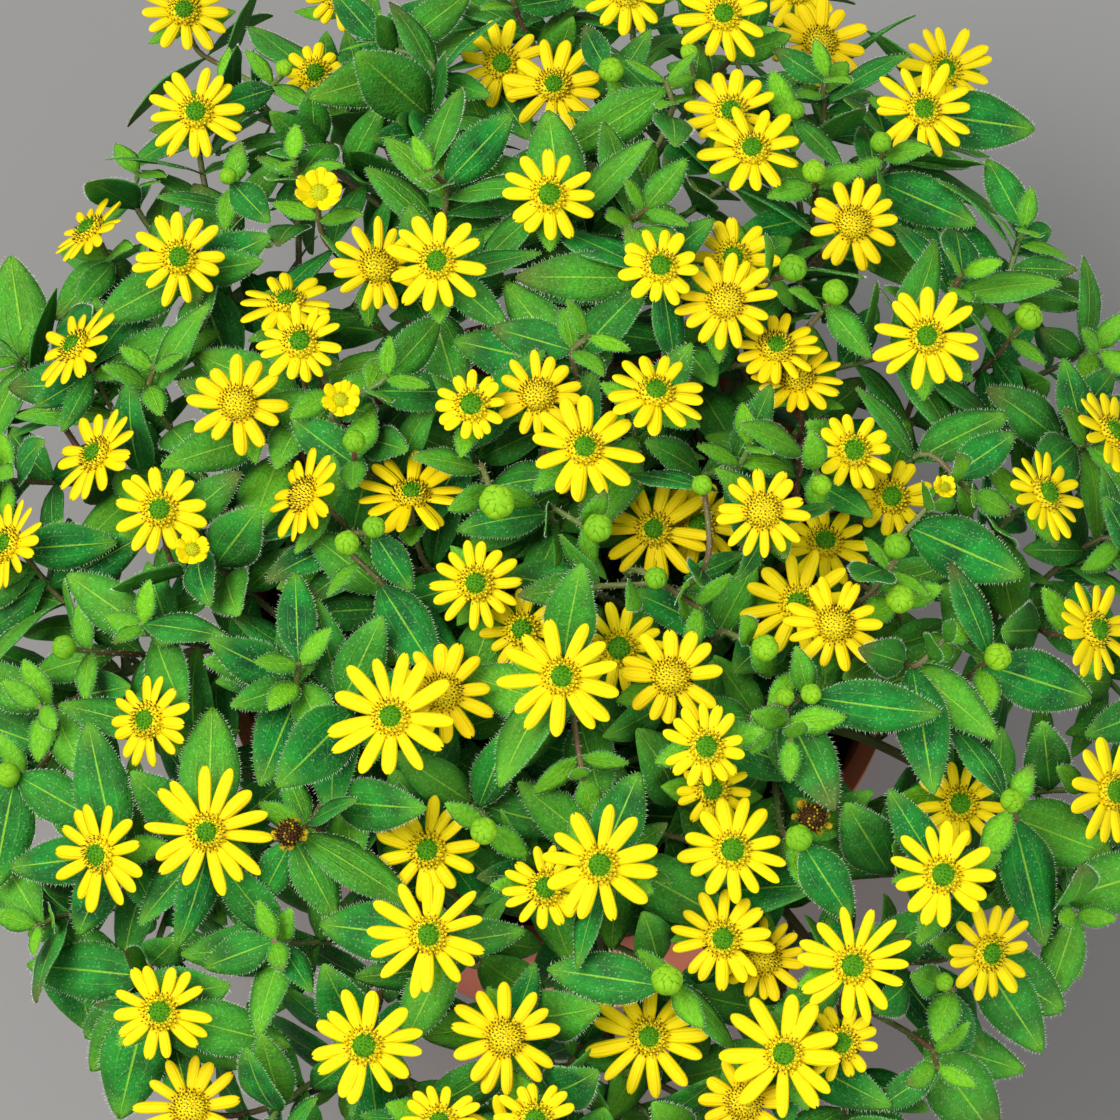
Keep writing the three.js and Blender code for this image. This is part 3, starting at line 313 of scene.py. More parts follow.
for ringIndex, ring in enumerate(rings):
    for i in range(ring["count"]):
        turn = ((i + 0.5) / ring["count"]) * 2 * math.pi + ringIndex * ringTwist
        away = np.array((math.cos(turn), math.sin(turn), 0))
        stretch = 1 / math.hypot(away[0], away[1] * (crown["across"] / crown["deep"]))
        foot = away * ring["foot"]
        sway = np.array((-away[1], away[0], 0)) * draw(-2.5, 2.5)
        knee = away * ring["knee"] + sway + up * ring["kneeHeight"]
        end = away * ring["reach"] * stretch + up * ring["height"]
        middle = (knee + end) / 2
        middle[2] = (knee[2] + end[2]) / 2 + arch
        low = foot + up * (soil["shoulder"] - stemSize["sink"])
        bends = [low, foot + up * (soil["shoulder"] + stemSize["upright"]), knee, middle, end]
        stalk = newStalk(bends, leafSizes["main"]["at"], stemSize["main"])
        sprays.append({"ring": ringIndex, "turn": turn, "foot": foot, "stalk": stalk, "starts": [],
                       "name": f"spray_{ringNames[ringIndex]}_{len(sprays) + 1}"})
        markStem(stalk, 1.6)


def sprayOf(spot):
    radius = math.hypot(spot[0], spot[1] * (crown["across"] / crown["deep"]))
    ringIndex = next(i for i, ring in enumerate(rings) if radius < ring["within"])
    count = rings[ringIndex]["count"]
    turn = math.atan2(spot[1], spot[0]) - ringIndex * ringTwist + 4 * math.pi
    place = math.floor((turn / (2 * math.pi)) * count) % count
    return [spray for spray in sprays if spray["ring"] == ringIndex][place]


leaving = {"first": 2, "bare": 24, "step": 1.5, "taken": 12}


def startOf(lowered, spray):
    best, nearest = None, math.inf
    back = leaving["first"]
    length = stemLength(spray["stalk"]["bends"])
    while back < length - leaving["bare"]:
        spot, axis = alongStem(spray["stalk"]["bends"], back)
        taken = sum(np.linalg.norm(other - spot) < stemSize["apart"] for other in spray["starts"])
        gap = np.linalg.norm(spot - lowered) + taken * leaving["taken"]
        if gap < nearest:
            nearest, best = gap, (spot, axis)
        back += leaving["step"]
    return best


branch = {"below": 26, "inward": 0.22, "lower": 6, "leave": 0.28, "arrive": 0.45, "latest": 0.75,
          "step": 1.5}
detour = {"ways": 33, "bow": 3.2, "around": 8, "gap": 0.4, "head": 3.5, "overRim": 2, "insideRim": 5,
          "rimCost": 3}


def hitsOf(bends, own):
    spots = stemPlaces(bends, np.arange(branch["step"], stemLength(bends) - detour["head"], branch["step"]))
    margin = stemSize["side"]
    away = spots[:, None] - headSpots[None]
    depth = dot(away, headFacings[None])
    lateral = np.linalg.norm(away - headFacings[None] * depth[..., None], axis=2)
    inRound = isRound & (np.hypot(depth, lateral) < headRadii + margin)
    inPetals = (abs(depth) < bloomSize["thick"] + margin) & (lateral < headRadii + margin * 0.6)
    inCup = (depth < 0) & (depth > -bloomSize["cup"] - margin) & (lateral < bloomSize["cupWidth"] + margin)
    inHead = inRound | (isBloom & (inPetals | inCup))
    inHead[:, own] = False
    hits = inHead.any(axis=1).sum()
    nearby = abs(stemSpots - spots.mean(axis=0)).max(axis=1) < stemLength(bends)
    gaps = np.linalg.norm(spots[:, None] - stemSpots[nearby][None], axis=2)
    hits += (gaps < margin + stemRadii[nearby] + detour["gap"]).any(axis=1).sum()
    outer = np.hypot(spots[:, 0], spots[:, 1])
    onRim = (outer < pot["rim"] + detour["overRim"]) & (outer > pot["rim"] - detour["insideRim"])
    return hits + detour["rimCost"] * (onRim & (spots[:, 2] < pot["height"] + detour["overRim"])).sum()


def branchTo(own, spray):
    head = heads[own]
    rising = unit(head["facing"] * 0.6 + up * 0.4)
    lowered = head["spot"] - rising * branch["below"]
    foot = np.array((spray["foot"][0], spray["foot"][1], lowered[2] - branch["lower"]))
    lowered = lowered + (foot - lowered) * branch["inward"]
    start, along = startOf(lowered, spray)
    spray["starts"].append(start)
    below = {"bloom": bloomSize["cup"], "cup": head["radius"] * 0.9, "bud": head["radius"] * 0.85,
             "shoot": 0}
    end = head["spot"] - head["facing"] * below[head["kind"]]
    length = np.linalg.norm(start - end)
    aside = unit(np.cross(along, rising))
    across = np.cross(rising, aside)
    first = start + along * length * branch["leave"]
    second = end - rising * length * branch["arrive"]
    t = 1 - min(branch["latest"], leafSizes[head["kind"]]["at"] / length)
    middle = (start * (1 - t) ** 3 + first * 3 * t * (1 - t) ** 2 + second * 3 * t ** 2 * (1 - t)
              + end * t ** 3)
    best, fewest = None, math.inf
    for way in range(detour["ways"]):
        bow = detour["bow"] * math.ceil(way / detour["around"])
        turn = (way / detour["around"]) * 2 * math.pi
        bends = [start, middle + aside * bow * math.cos(turn) + across * bow * math.sin(turn), end]
        hits = hitsOf(bends, own)
        if hits < fewest:
            fewest, best = hits, bends
        if hits == 0:
            break
    return newStalk(best, np.linalg.norm(best[1] - end), stemSize["side"])


for own in sorted(range(len(heads)), key=lambda i: heads[i]["spot"][2]):
    head = heads[own]
    head["spray"] = sprayOf(head["spot"])
    head["stalk"] = branchTo(own, head["spray"])
    markStem(head["stalk"], branch["step"])
print("stems", len(stalks))


# Leaves
def halfWidthAt(halfWidth, t):
    return halfWidth * np.maximum(0, np.sin(np.pi * np.clip(t, 0, 1) ** 0.85)) ** 0.9


def leafPlace(blade, t, c, rise=0.0, width=None):
    bend = blade["droop"] * t
    forward = blade["length"] * np.sin(bend) / blade["droop"] + rise * np.sin(bend)
    down = blade["length"] * (1 - np.cos(bend)) / blade["droop"] - rise * np.cos(bend)
    wide = c * halfWidthAt(blade["halfWidth"], t) if width is None else width
    return (blade["root"] + forward[:, None] * blade["run"] - down[:, None] * blade["face"]
            + wide[:, None] * blade["side"])


probeT = np.array([t for t in (0.14, 0.38, 0.62, 0.85) for c in (-0.95, 0, 0.95)] + [1.0])
probeC = np.array([c for t in (0.14, 0.38, 0.62, 0.85) for c in (-0.95, 0, 0.95)] + [0.0])
near = {"mates": 3, "edge": 0.5, "rim": 3, "bud": 0.9, "petals": 0.6, "cup": 1, "cupWidth": 3.2,
        "ownStem": 3.2, "hide": 0.62}
grown = {key: np.zeros((0, 3)) for key in ("root", "run", "face", "side")}  # all the leaves so far
grown.update({key: np.zeros(0) for key in ("length", "halfWidth", "droop")})
grown["probes"] = np.zeros((0, len(probeT), 3))
grown["owner"] = np.zeros(0, int)


def overLeaf(blade, spots, margin):  # height over a blade's surface, and where it counts
    away = spots - blade["root"]
    t = dot(away, blade["run"]) / (blade["length"] * (1 - blade["droop"] ** 2 / 8))
    beside = abs(dot(away, blade["side"])) > halfWidthAt(blade["halfWidth"], t) + margin
    bend = blade["droop"] * np.minimum(1, t)
    over = dot(away, blade["face"]) + blade["length"] * (1 - np.cos(bend)) / blade["droop"]
    return over, ~((t < 0.04) | (t > 1 + margin / blade["length"]) | beside)


def passesThrough(over, counts, gap):
    tooNear = counts & (abs(over) < gap)
    return tooNear.any(axis=-1) | ((counts & (over > 0)).any(axis=-1) & (counts & (over <= 0)).any(axis=-1))


def leafBlocked(blade, gap, windows):
    spots = blade["probes"]
    radius = np.hypot(spots[:, 0], spots[:, 1])
    if ((radius < pot["rim"] + near["rim"]) & (spots[:, 2] < pot["height"] + near["rim"])).any():
        return True
    seenAcross, seenDown = toPicture(spots)
    for across, down, wide, tall in windows:
        if ((abs(seenAcross - across) < wide / 2) & (abs(seenDown - down) < tall / 2)).any():
            return True
    close = np.linalg.norm(headSpots - blade["root"], axis=1) <= blade["length"] + headRadii + 4
    away = spots[None] - headSpots[close][:, None]
    facings, radii = headFacings[close][:, None], headRadii[close][:, None]
    depth = dot(away, facings)
    far = np.linalg.norm(away, axis=2)
    if ((far < radii + near["bud"]) & isRound[close][:, None]).any():
        return True
    lateral = np.linalg.norm(away - facings * depth[..., None], axis=2)
    inside = (lateral < radii + near["petals"]) & isBloom[close][:, None]
    if passesThrough(depth, inside, clear["petals"]).any():
        return True
    inCup = (depth < 0) & (depth > -bloomSize["cup"] - near["cup"]) & (lateral < near["cupWidth"])
    toward = away @ ahead
    beside = np.linalg.norm(away - toward[..., None] * ahead, axis=2)
    hides = (toward < -1) & (beside < radii * near["hide"])
    if ((inCup | hides) & isBloom[close][:, None]).any():
        return True
    gaps = np.linalg.norm(stemSpots - blade["root"], axis=1)
    counted = gaps <= blade["length"] + stemSize["main"]
    counted &= ~((stemOwners == blade["owner"]) & (gaps < near["ownStem"]))
    over, counts = overLeaf(blade, stemSpots[counted], stemRadii[counted])
    if (counts & (abs(over) < stemRadii[counted] + clear["stems"])).any():
        return True
    if not len(grown["length"]):
        return False
    close = np.linalg.norm(grown["root"] - blade["root"], axis=1) <= grown["length"] + blade["length"]
    others = {key: value[close] for key, value in grown.items()}
    areMates = (others["owner"] == blade["owner"])[:, None]
    over, counts = overLeaf(blade, others["probes"], near["edge"])
    counts &= ~(areMates & (np.linalg.norm(others["probes"] - blade["root"], axis=2) < near["mates"]))
    if passesThrough(over, counts, gap).any():
        return True
    wide = {key: value[:, None] for key, value in others.items() if key != "probes"}
    over, counts = overLeaf(wide, spots[None], near["edge"])
    counts &= ~(areMates & (np.linalg.norm(spots[None] - wide["root"], axis=2) < near["mates"]))
    return bool(passesThrough(over, counts, gap).any())


def newBlade(root, run, face, length, halfWidth, droop, owner):
    face = unit(face - run * (face @ run))
    blade = {"root": root, "run": run, "face": face, "side": np.cross(face, run), "length": length,
             "halfWidth": halfWidth, "droop": droop, "owner": owner}
    blade["probes"] = leafPlace(blade, probeT, probeC)
    return blade


def keepLeaf(stalk, blade):
    for key in grown:
        grown[key] = np.concatenate((grown[key], [blade[key]]))
    stalk["leaves"].append(blade)


nudges = (0, 15, -15, 30, -30, 45, -45, 60, -60)
rises = (0, 16, -16)


def growLeaf(stalk, turn, size, back=None, gap=clear["leaves"], windows=solidWindows, spread=(22, 52),
             plump=(0.17, 0.21)):
    root, axis = alongStem(stalk["bends"], stalk["node"] + 1.3 if back is None else back)
    first = unit(np.cross(axis, np.array((1, 0.2, 0))))
    second = np.cross(axis, first)
    length = size["length"] * draw(0.88, 1.12)
    halfWidth = length * draw(*plump)
    lift = math.radians(draw(size["lift"] - 12, size["lift"] + 12))
    droop = math.radians(draw(*spread))
    for nudge in nudges:
        for rise in rises:
            angle = turn + math.radians(nudge)
            tilt = lift + math.radians(rise)
            level = first * math.cos(angle) + second * math.sin(angle)
            run = unit(level * math.cos(tilt) + axis * math.sin(tilt))
            face = axis + up * 0.7 + outward(root) * 0.25
            blade = newBlade(root, run, face, length, halfWidth, droop, stalk["id"])
            if not leafBlocked(blade, gap, windows):
                keepLeaf(stalk, blade)
                return blade
    return None


for head in heads:
    turn = math.radians(draw(0, 180))
    growLeaf(head["stalk"], turn, leafSizes[head["kind"]])
    if head["kind"] != "bud":
        growLeaf(head["stalk"], turn + math.pi, leafSizes[head["kind"]])
for spray in sprays:
    growLeaf(spray["stalk"], spray["turn"] + 0.8, leafSizes["main"])
    growLeaf(spray["stalk"], spray["turn"] + 0.8 + math.pi, leafSizes["main"])
print("leaves of the solids", len(grown["length"]))


# More leaves than the solids carry: leaflets close under the heads, pairs further down and at bare tips
extras = [
    {"past": None, "at": 4.5, "length": 10, "lift": 28, "plump": (0.2, 0.25), "turn": 90, "young": 0.75},
    {"past": 9, "at": None, "length": 18, "lift": 34, "plump": (0.18, 0.22), "turn": 90, "young": 0.3},
]
tipExtra = {"at": 0.4, "length": 8.5, "lift": 44, "plump": (0.2, 0.25), "spread": (12, 34), "young": 0.8}
mainExtras = {"first": 10, "every": 11, "length": 23, "lift": 26, "turn": 90, "untilHeight": 96}
extraGap = 0.6


def smoothPath(bends, leave, arrive, steps):  # a curve through the bends of a stem
    ways = [leave] + [unit(c - a) for a, c in zip(bends, bends[2:])] + [arrive]
    t = np.linspace(0, 1, steps + 1)[:, None]
    path = [bends[0]]
    for a, b, wayA, wayB in zip(bends, bends[1:], ways, ways[1:]):
        length = np.linalg.norm(b - a)
        curve = (a * (2 * t ** 3 - 3 * t ** 2 + 1) + wayA * length * (t ** 3 - 2 * t ** 2 + t)
                 + b * (3 * t ** 2 - 2 * t ** 3) + wayB * length * (t ** 3 - t ** 2))
        path.extend(curve[1:])
    return path


for stalk in stalks:
    bends = stalk["bends"]
    stalk["path"] = smoothPath(bends, unit(bends[1] - bends[0]), unit(bends[-1] - bends[-2]), 5)
for head in heads:
    bends = head["stalk"]["bends"]
    arrive = unit(unit(bends[-1] - bends[-2]) + head["facing"])
    head["stalk"]["path"] = smoothPath(bends, unit(bends[1] - bends[0]), arrive * 0.8, 6)

for blade in [blade for stalk in stalks for blade in stalk["leaves"]]:
    blade["young"] = draw(-0.1, 0.7)


def growPair(stalk, turn, size, back, young, **choice):
    polygon = stalk["bends"]
    stalk["bends"] = stalk["path"]
    for side in (0, math.pi):
        blade = growLeaf(stalk, turn + side, size, back, extraGap, fineWindows, **choice)
        if blade:
            blade["young"] = young + draw(-0.15, 0.2)
    stalk["bends"] = polygon


bareTips = [head["stalk"] for head in heads if head["kind"] == "shoot"]
bareTips += [spray["stalk"] for spray in sprays]
for stalk in bareTips:
    growPair(stalk, draw(0, math.pi), tipExtra, tipExtra["at"], tipExtra["young"],
             plump=tipExtra["plump"], spread=tipExtra["spread"])
for extra in extras:
    for head in heads:
        stalk = head["stalk"]
        turn = math.radians(extra["turn"]) + draw(0, math.pi)
        back = extra["at"] if extra["past"] is None else stalk["node"] + extra["past"]
        if back < stemLength(stalk["path"]) - 3:
            growPair(stalk, turn, extra, back, extra["young"], plump=extra["plump"])
for spray in sprays:
    stalk = spray["stalk"]
    back = mainExtras["first"]
    turn = spray["turn"] + 0.8
    while alongStem(stalk["path"], back)[0][2] > mainExtras["untilHeight"]:
        turn += math.radians(mainExtras["turn"])
        growPair(stalk, turn, mainExtras, back, 0.1)
        back += mainExtras["every"]
print("leaves after the extras", len(grown["length"]))

# Leaves that seek the light: each gap seen from a few sides is filled from a stem beneath it
seeking = {"cell": 2.4, "half": 190, "middle": np.array((0, 0, 130)), "shade": 24, "filled": 0.5,
           "above": -5, "below": 30, "nearest": 4, "furthest": 21, "edge": 1.1, "longer": (1.5, 1.9),
           "length": (13, 25), "plump": (0.165, 0.225), "droop": (14, 32), "lowest": 84,
           "nudges": (0, 22, -22, 44, -44), "headRings": (0.3, 0.65, 0.95), "headTurns": 9}
sides = [(0, 66, 7), (0, 66, 22)]  # azimuth, elevation, and how deep under the crown the gaps are filled
sides += [(azimuth, 45, 7) for azimuth in range(0, 360, 45)]
sides += [(azimuth, 15, 7) for azimuth in range(20, 380, 45)]


def sideFrame(azimuth, elevation):  # the way of looking, and the right and the up of what is seen
    turn, rise = math.radians(azimuth), math.radians(elevation)
    look = np.array((-math.sin(turn) * math.cos(rise), math.cos(turn) * math.cos(rise), -math.sin(rise)))
    right = unit(np.cross(look, up))
    return look, right, np.cross(right, look)


def bladeCover(blade):  # points spread over a blade
    t = np.repeat(np.linspace(0.08, 0.96, 9), 5)
    return leafPlace(blade, t, np.tile(np.linspace(-0.9, 0.9, 5), 9))


def headCover():
    points = []
    for head in heads:
        first = unit(np.cross(head["facing"], np.array((0.3, 1, 0.1))))
        second = np.cross(head["facing"], first)
        for ring in seeking["headRings"]:
            for turn in np.arange(seeking["headTurns"]) * 0.7:
                reach = ring * head["radius"]
                points.append(head["spot"] + first * math.cos(turn) * reach
                              + second * math.sin(turn) * reach)
    return np.array(points)


skinSpots = []  # points on the skin of the mound, with the way it faces there
for x in np.arange(-116, 117, seeking["cell"]):
    for y in np.arange(-134, 135, seeking["cell"]):
        reach = reachOf(x, y)
        if reach < seeking["edge"]:
            steep = crown["fall"] * 2 + (crown["drop"] / max(reach, 0.1) if reach > crown["brink"] else 0)
            slope = unit(np.array((steep * x / crown["across"] ** 2, steep * y / crown["deep"] ** 2, 1)))
            skinSpots.append((x, y, crownHeight(x, y), *slope))
skinSpots = np.array(skinSpots)
skinSpots = skinSpots[np.argsort(np.sin(np.arange(len(skinSpots)) * 78.233))]  # in a scattered order


def seekLight(look, right, upward, depthBelow):
    size, half = seeking["cell"], seeking["half"]
    cells = int(2 * half / size)
    nearest = np.full((cells, cells), 1e9)  # how near to the eye each cell is covered

    def cover(points):
        away = points - seeking["middle"]
        i = np.clip(((away @ right + half) / size).astype(int), 1, cells - 2)
        j = np.clip(((away @ upward + half) / size).astype(int), 1, cells - 2)
        np.minimum.at(nearest, (i, j), points @ look)

    cover(headCover())
    for stalk in stalks:
        for blade in stalk["leaves"]:
            cover(bladeCover(blade))
    added = 0
    spotRight, spotUp, spotDeep = stemSpots @ right, stemSpots @ upward, stemSpots @ look
    for goal in skinSpots[skinSpots[:, 3:] @ look < -0.3][:, :3] - up * depthBelow:
        i = int((goal @ right + half) / size)
        j = int(((goal - seeking["middle"]) @ upward + half) / size)
        around = nearest[i - 1:i + 2, j - 1:j + 2]
        if (around < goal @ look + seeking["shade"]).mean() > seeking["filled"]:
            continue
        aside = np.hypot(spotRight - goal @ right, spotUp - goal @ upward)
        depth = spotDeep - goal @ look
        fits = (aside > seeking["nearest"]) & (aside < seeking["furthest"])
        order = np.nonzero(fits & (depth > seeking["above"]) & (depth < seeking["below"]))[0]
        order = order[np.argsort(aside[order] + depth[order] * 0.4)][:90:10]
        for pick, nudge in [(pick, nudge) for pick in order for nudge in seeking["nudges"]]:
            away = goal - stemSpots[pick]
            level = away - look * (away @ look)
            reach = np.linalg.norm(level)
            turn = math.radians(nudge)
            level = level * math.cos(turn) + np.cross(look, level) * math.sin(turn)
            length = np.clip(reach * draw(*seeking["longer"]), *seeking["length"])
            run = unit(level - look * np.clip(-away @ look, -reach * 0.2, reach * 0.8))
            halfWidth = length * draw(*seeking["plump"])
            droop = math.radians(draw(*seeking["droop"]))
            owner = stemOwners[pick]
            blade = newBlade(stemSpots[pick], run, up * 0.3 - look, length, halfWidth, droop, owner)
            isHigh = blade["probes"][:, 2].min() > seeking["lowest"]
            if isHigh and not leafBlocked(blade, extraGap, fineWindows):
                keepLeaf(stalks[owner], blade)
                blade["young"] = draw(-0.15, 0.55)
                cover(bladeCover(blade))
                added += 1
                break
    return added


for azimuth, elevation, depthBelow in sides:
    print("leaves towards", azimuth, elevation, seekLight(*sideFrame(azimuth, elevation), depthBelow))
print("leaves in all", len(grown["length"]))

# Camera
cameraSettings = {"lens": 162, "sensor": 36, "near": 0.05, "far": 20}
cameraData = bpy.data.cameras.new("camera")
cameraData.lens = cameraSettings["lens"]
cameraData.sensor_width = cameraSettings["sensor"]
cameraData.clip_start = cameraSettings["near"]
cameraData.clip_end = cameraSettings["far"]
camera = bpy.data.objects.new("camera", cameraData)
bpy.context.scene.collection.objects.link(camera)
camera.location = Vector(eyePoint * mm)
camera.rotation_euler = (math.pi / 2 - picture["pitch"], 0, 0)
bpy.context.scene.camera = camera


def startModelling():  # nothing selected, so that an operator acts on the new piece alone
    bpy.ops.object.select_all(action="DESELECT")


def everywhere(spot):
    return True


def selectWhere(piece, test):
    bpy.ops.object.mode_set(mode="EDIT")
    bpy.ops.mesh.select_mode(type="VERT")
    bpy.ops.mesh.select_all(action="DESELECT")
    bpy.ops.object.mode_set(mode="OBJECT")
    for vertex in piece.data.vertices:
        vertex.select = test(vertex.co)
    bpy.ops.object.mode_set(mode="EDIT")


def moveWhere(piece, test, offset):
    selectWhere(piece, test)
    bpy.ops.transform.translate(value=offset)
    bpy.ops.object.mode_set(mode="OBJECT")


def scaleWhere(piece, test, factors, center=(0, 0, 0)):
    selectWhere(piece, test)
    bpy.ops.transform.resize(value=factors, center_override=center)
    bpy.ops.object.mode_set(mode="OBJECT")


def applyAll(piece):
    bpy.context.view_layer.objects.active = piece
    for modifier in list(piece.modifiers):
        bpy.ops.object.modifier_apply(modifier=modifier.name)


def takeShape(piece):  # the mesh as arrays, for the pieces that repeat it
    mesh = piece.data
    spots = np.empty(len(mesh.vertices) * 3)
    mesh.vertices.foreach_get("co", spots)
    loops = np.empty(len(mesh.loops), int)
    mesh.loops.foreach_get("vertex_index", loops)
    totals = np.empty(len(mesh.polygons), int)
    mesh.polygons.foreach_get("loop_total", totals)
    bpy.data.objects.remove(piece)
    return {"spots": spots.reshape(-1, 3), "loops": loops, "totals": totals}


# Templates are modelled once, in millimetres about the origin
touching = 0.1
leafShape = {"across": 4, "along": 9, "leafletAlong": 6, "width": 8, "length": 22, "groove": 0.5,
             "roll": 0.42, "thick": 0.34}
petalShape = {"across": 2, "along": 8, "width": 3, "length": 7, "channel": 0.08, "thick": 0.14}
sepalShape = {"across": 3, "along": 5, "width": 2, "length": 1, "thick": 0.07}


def modelBlade(shape, along, dents=()):  # dents lie at 0 on the midrib and at 1 on the edges
    startModelling()
    bpy.ops.mesh.primitive_grid_add(x_subdivisions=shape["across"], y_subdivisions=along, size=1)
    blade = bpy.context.object
    scaleWhere(blade, everywhere, (shape["width"], shape["length"], 1))
    moveWhere(blade, everywhere, (0, shape["length"] / 2, 0))
    for aside, deep in dents:
        moveWhere(blade, lambda spot: abs(abs(spot.x) * 2 / shape["width"] - aside) < touching, (0, 0, -deep))
    wall = blade.modifiers.new("thickness", "SOLIDIFY")
    wall.thickness = shape["thick"]
    wall.offset = -1
    applyAll(blade)
    return takeShape(blade)


# Sides of a peg one high, and its radius at the foot and at the top
pegShapes = {"floret": (4, 0.32, 0.2), "scale": (4, 0.26, 0.14), "speck": (3, 0.13, 0), "hair": (3, 1, 0)}


def modelPeg(sides, low, high):
    startModelling()
    bpy.ops.mesh.primitive_cone_add(vertices=sides, radius1=low, radius2=high, depth=1)
    peg = bpy.context.object
    moveWhere(peg, everywhere, (0, 0, 0.5))
    return takeShape(peg)


ballShape = {"around": 12, "domeAround": 14, "rings": 8, "domeFoot": 0.02}


def modelBall(around, isDome=False):
    startModelling()
    bpy.ops.mesh.primitive_uv_sphere_add(segments=around, ring_count=ballShape["rings"], radius=1)
    ball = bpy.context.object
    if isDome:
        foot = (0, 0, ballShape["domeFoot"])
        bpy.ops.object.mode_set(mode="EDIT")
        bpy.ops.mesh.bisect(plane_co=foot, plane_no=(0, 0, 1), use_fill=True, clear_inner=True)
        bpy.ops.object.mode_set(mode="OBJECT")
    return takeShape(ball)


cupShape = {"sides": 12, "top": 2.3, "bottom": 0.9, "deep": 2.4, "belly": 1.25}


def modelCup():  # the green cup under a head, broadest half-way down
    startModelling()
    deep = cupShape["deep"]
    bpy.ops.mesh.primitive_cylinder_add(vertices=cupShape["sides"], radius=cupShape["top"], depth=deep)
    cup = bpy.context.object
    moveWhere(cup, everywhere, (0, 0, -deep / 2))
    narrow = cupShape["bottom"] / cupShape["top"]
    scaleWhere(cup, lambda spot: spot.z < touching - deep, (narrow, narrow, 1))
    selectWhere(cup, everywhere)
    bpy.ops.mesh.bisect(plane_co=(0, 0, -deep / 2), plane_no=(0, 0, 1))
    bpy.ops.object.mode_set(mode="OBJECT")
    scaleWhere(cup, lambda spot: abs(spot.z + deep / 2) < touching, (cupShape["belly"], cupShape["belly"], 1))
    return takeShape(cup)


leafDents = [(0, leafShape["groove"]), (1, leafShape["roll"])]
leafTemplate = modelBlade(leafShape, leafShape["along"], leafDents)
leafletTemplate = modelBlade(leafShape, leafShape["leafletAlong"], leafDents)
petalTemplate = modelBlade(petalShape, petalShape["along"], [(1, petalShape["channel"])])
sepalTemplate = modelBlade(sepalShape, sepalShape["along"])
ballTemplate = modelBall(ballShape["around"])
domeTemplate = modelBall(ballShape["domeAround"], True)
cupTemplate = modelCup()
floretTemplate = modelPeg(*pegShapes["floret"])
scaleTemplate = modelPeg(*pegShapes["scale"])
speckTemplate = modelPeg(*pegShapes["speck"])
hairTemplate = modelPeg(*pegShapes["hair"])
print("templates modelled")


# Pieces are put together from many placed templates
def newHeap():
    return {"spots": [], "loops": [], "totals": [], "uv": [], "look": [], "finish": [], "count": 0}


def addShape(heap, template, spots, uv, look, finish):
    count = len(spots)
    step = len(template["spots"])
    copies = count // step
    shift = np.repeat(np.arange(copies) * step, len(template["loops"]))
    heap["loops"].append(np.tile(template["loops"], copies) + shift + heap["count"])
    heap["totals"].append(np.tile(template["totals"], copies))
    heap["spots"].append(spots)
    heap["uv"].append(np.broadcast_to(uv, (count, 2)))
    heap["look"].append(np.broadcast_to(look, (count, 3)))
    heap["finish"].append(np.full(len(template["totals"]) * copies, finish))
    heap["count"] += count


def makePiece(name, heap, finishes):
    mesh = bpy.data.meshes.new(name)
    spots = np.concatenate(heap["spots"]) * mm
    loops = np.concatenate(heap["loops"])
    totals = np.concatenate(heap["totals"])
    mesh.vertices.add(len(spots))
    mesh.vertices.foreach_set("co", spots.ravel())
    mesh.loops.add(len(loops))
    mesh.loops.foreach_set("vertex_index", loops)
    mesh.polygons.add(len(totals))
    mesh.polygons.foreach_set("loop_start", np.concatenate(([0], np.cumsum(totals)[:-1])))
    mesh.polygons.foreach_set("material_index", np.concatenate(heap["finish"]))
    mesh.polygons.foreach_set("use_smooth", np.ones(len(totals), bool))
    mesh.update(calc_edges=True)
    layer = mesh.uv_layers.new(name="UVMap")
    layer.uv.foreach_set("vector", np.concatenate(heap["uv"])[loops].ravel())
    look = mesh.color_attributes.new("look", "FLOAT_COLOR", "POINT")
    colors = np.concatenate((np.concatenate(heap["look"]), np.ones((len(spots), 1))), axis=1)
    look.data.foreach_set("color", colors.ravel())
    for finish in finishes:
        mesh.materials.append(finish)
    mesh.validate()
    piece = bpy.data.objects.new(name, mesh)
    bpy.context.scene.collection.objects.link(piece)
    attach(piece, plantBody)
    return piece


def turned(spots, facing, toward):  # from a frame whose third axis is the facing
    first = unit(toward - facing * (toward @ facing))
    return spots @ np.stack((first, np.cross(facing, first), facing))


def onHead(head, spots, toward):
    return head["spot"] + turned(spots, head["facing"], toward)


# Leaf blades and the hairs on them
leafLook = {"tipEnd": 0.992, "petiole": 0.5, "petioleEnd": 0.4, "wave": 0.4, "ripples": 9, "shift": 0.9,
            "purpleShare": 0.12, "broad": 1.13, "swell": 0.85, "base": 1.14, "blunt": 0.4, "leaflet": 13,
            "even": 0.55, "flatEnds": (0.12, 0.9), "aside": 1.06}


def leafWidths(blade, t):  # narrow at the base and blunt at the tip
    arc = np.sin(np.pi * np.clip(t * leafLook["tipEnd"], 0, 1) ** leafLook["swell"])
    wide = blade["halfWidth"] * leafLook["broad"] * arc ** (leafLook["base"] - leafLook["blunt"] * t)
    foot = leafLook["petioleEnd"]
    return np.maximum(wide, leafLook["petiole"] * np.clip((foot - t) / foot, 0, 1))


def leafRipple(t, side, phase):  # the waviness of a leaf's edges
    return np.sin(t * leafLook["ripples"] + phase + side * leafLook["shift"]) * np.sin(np.pi * t)


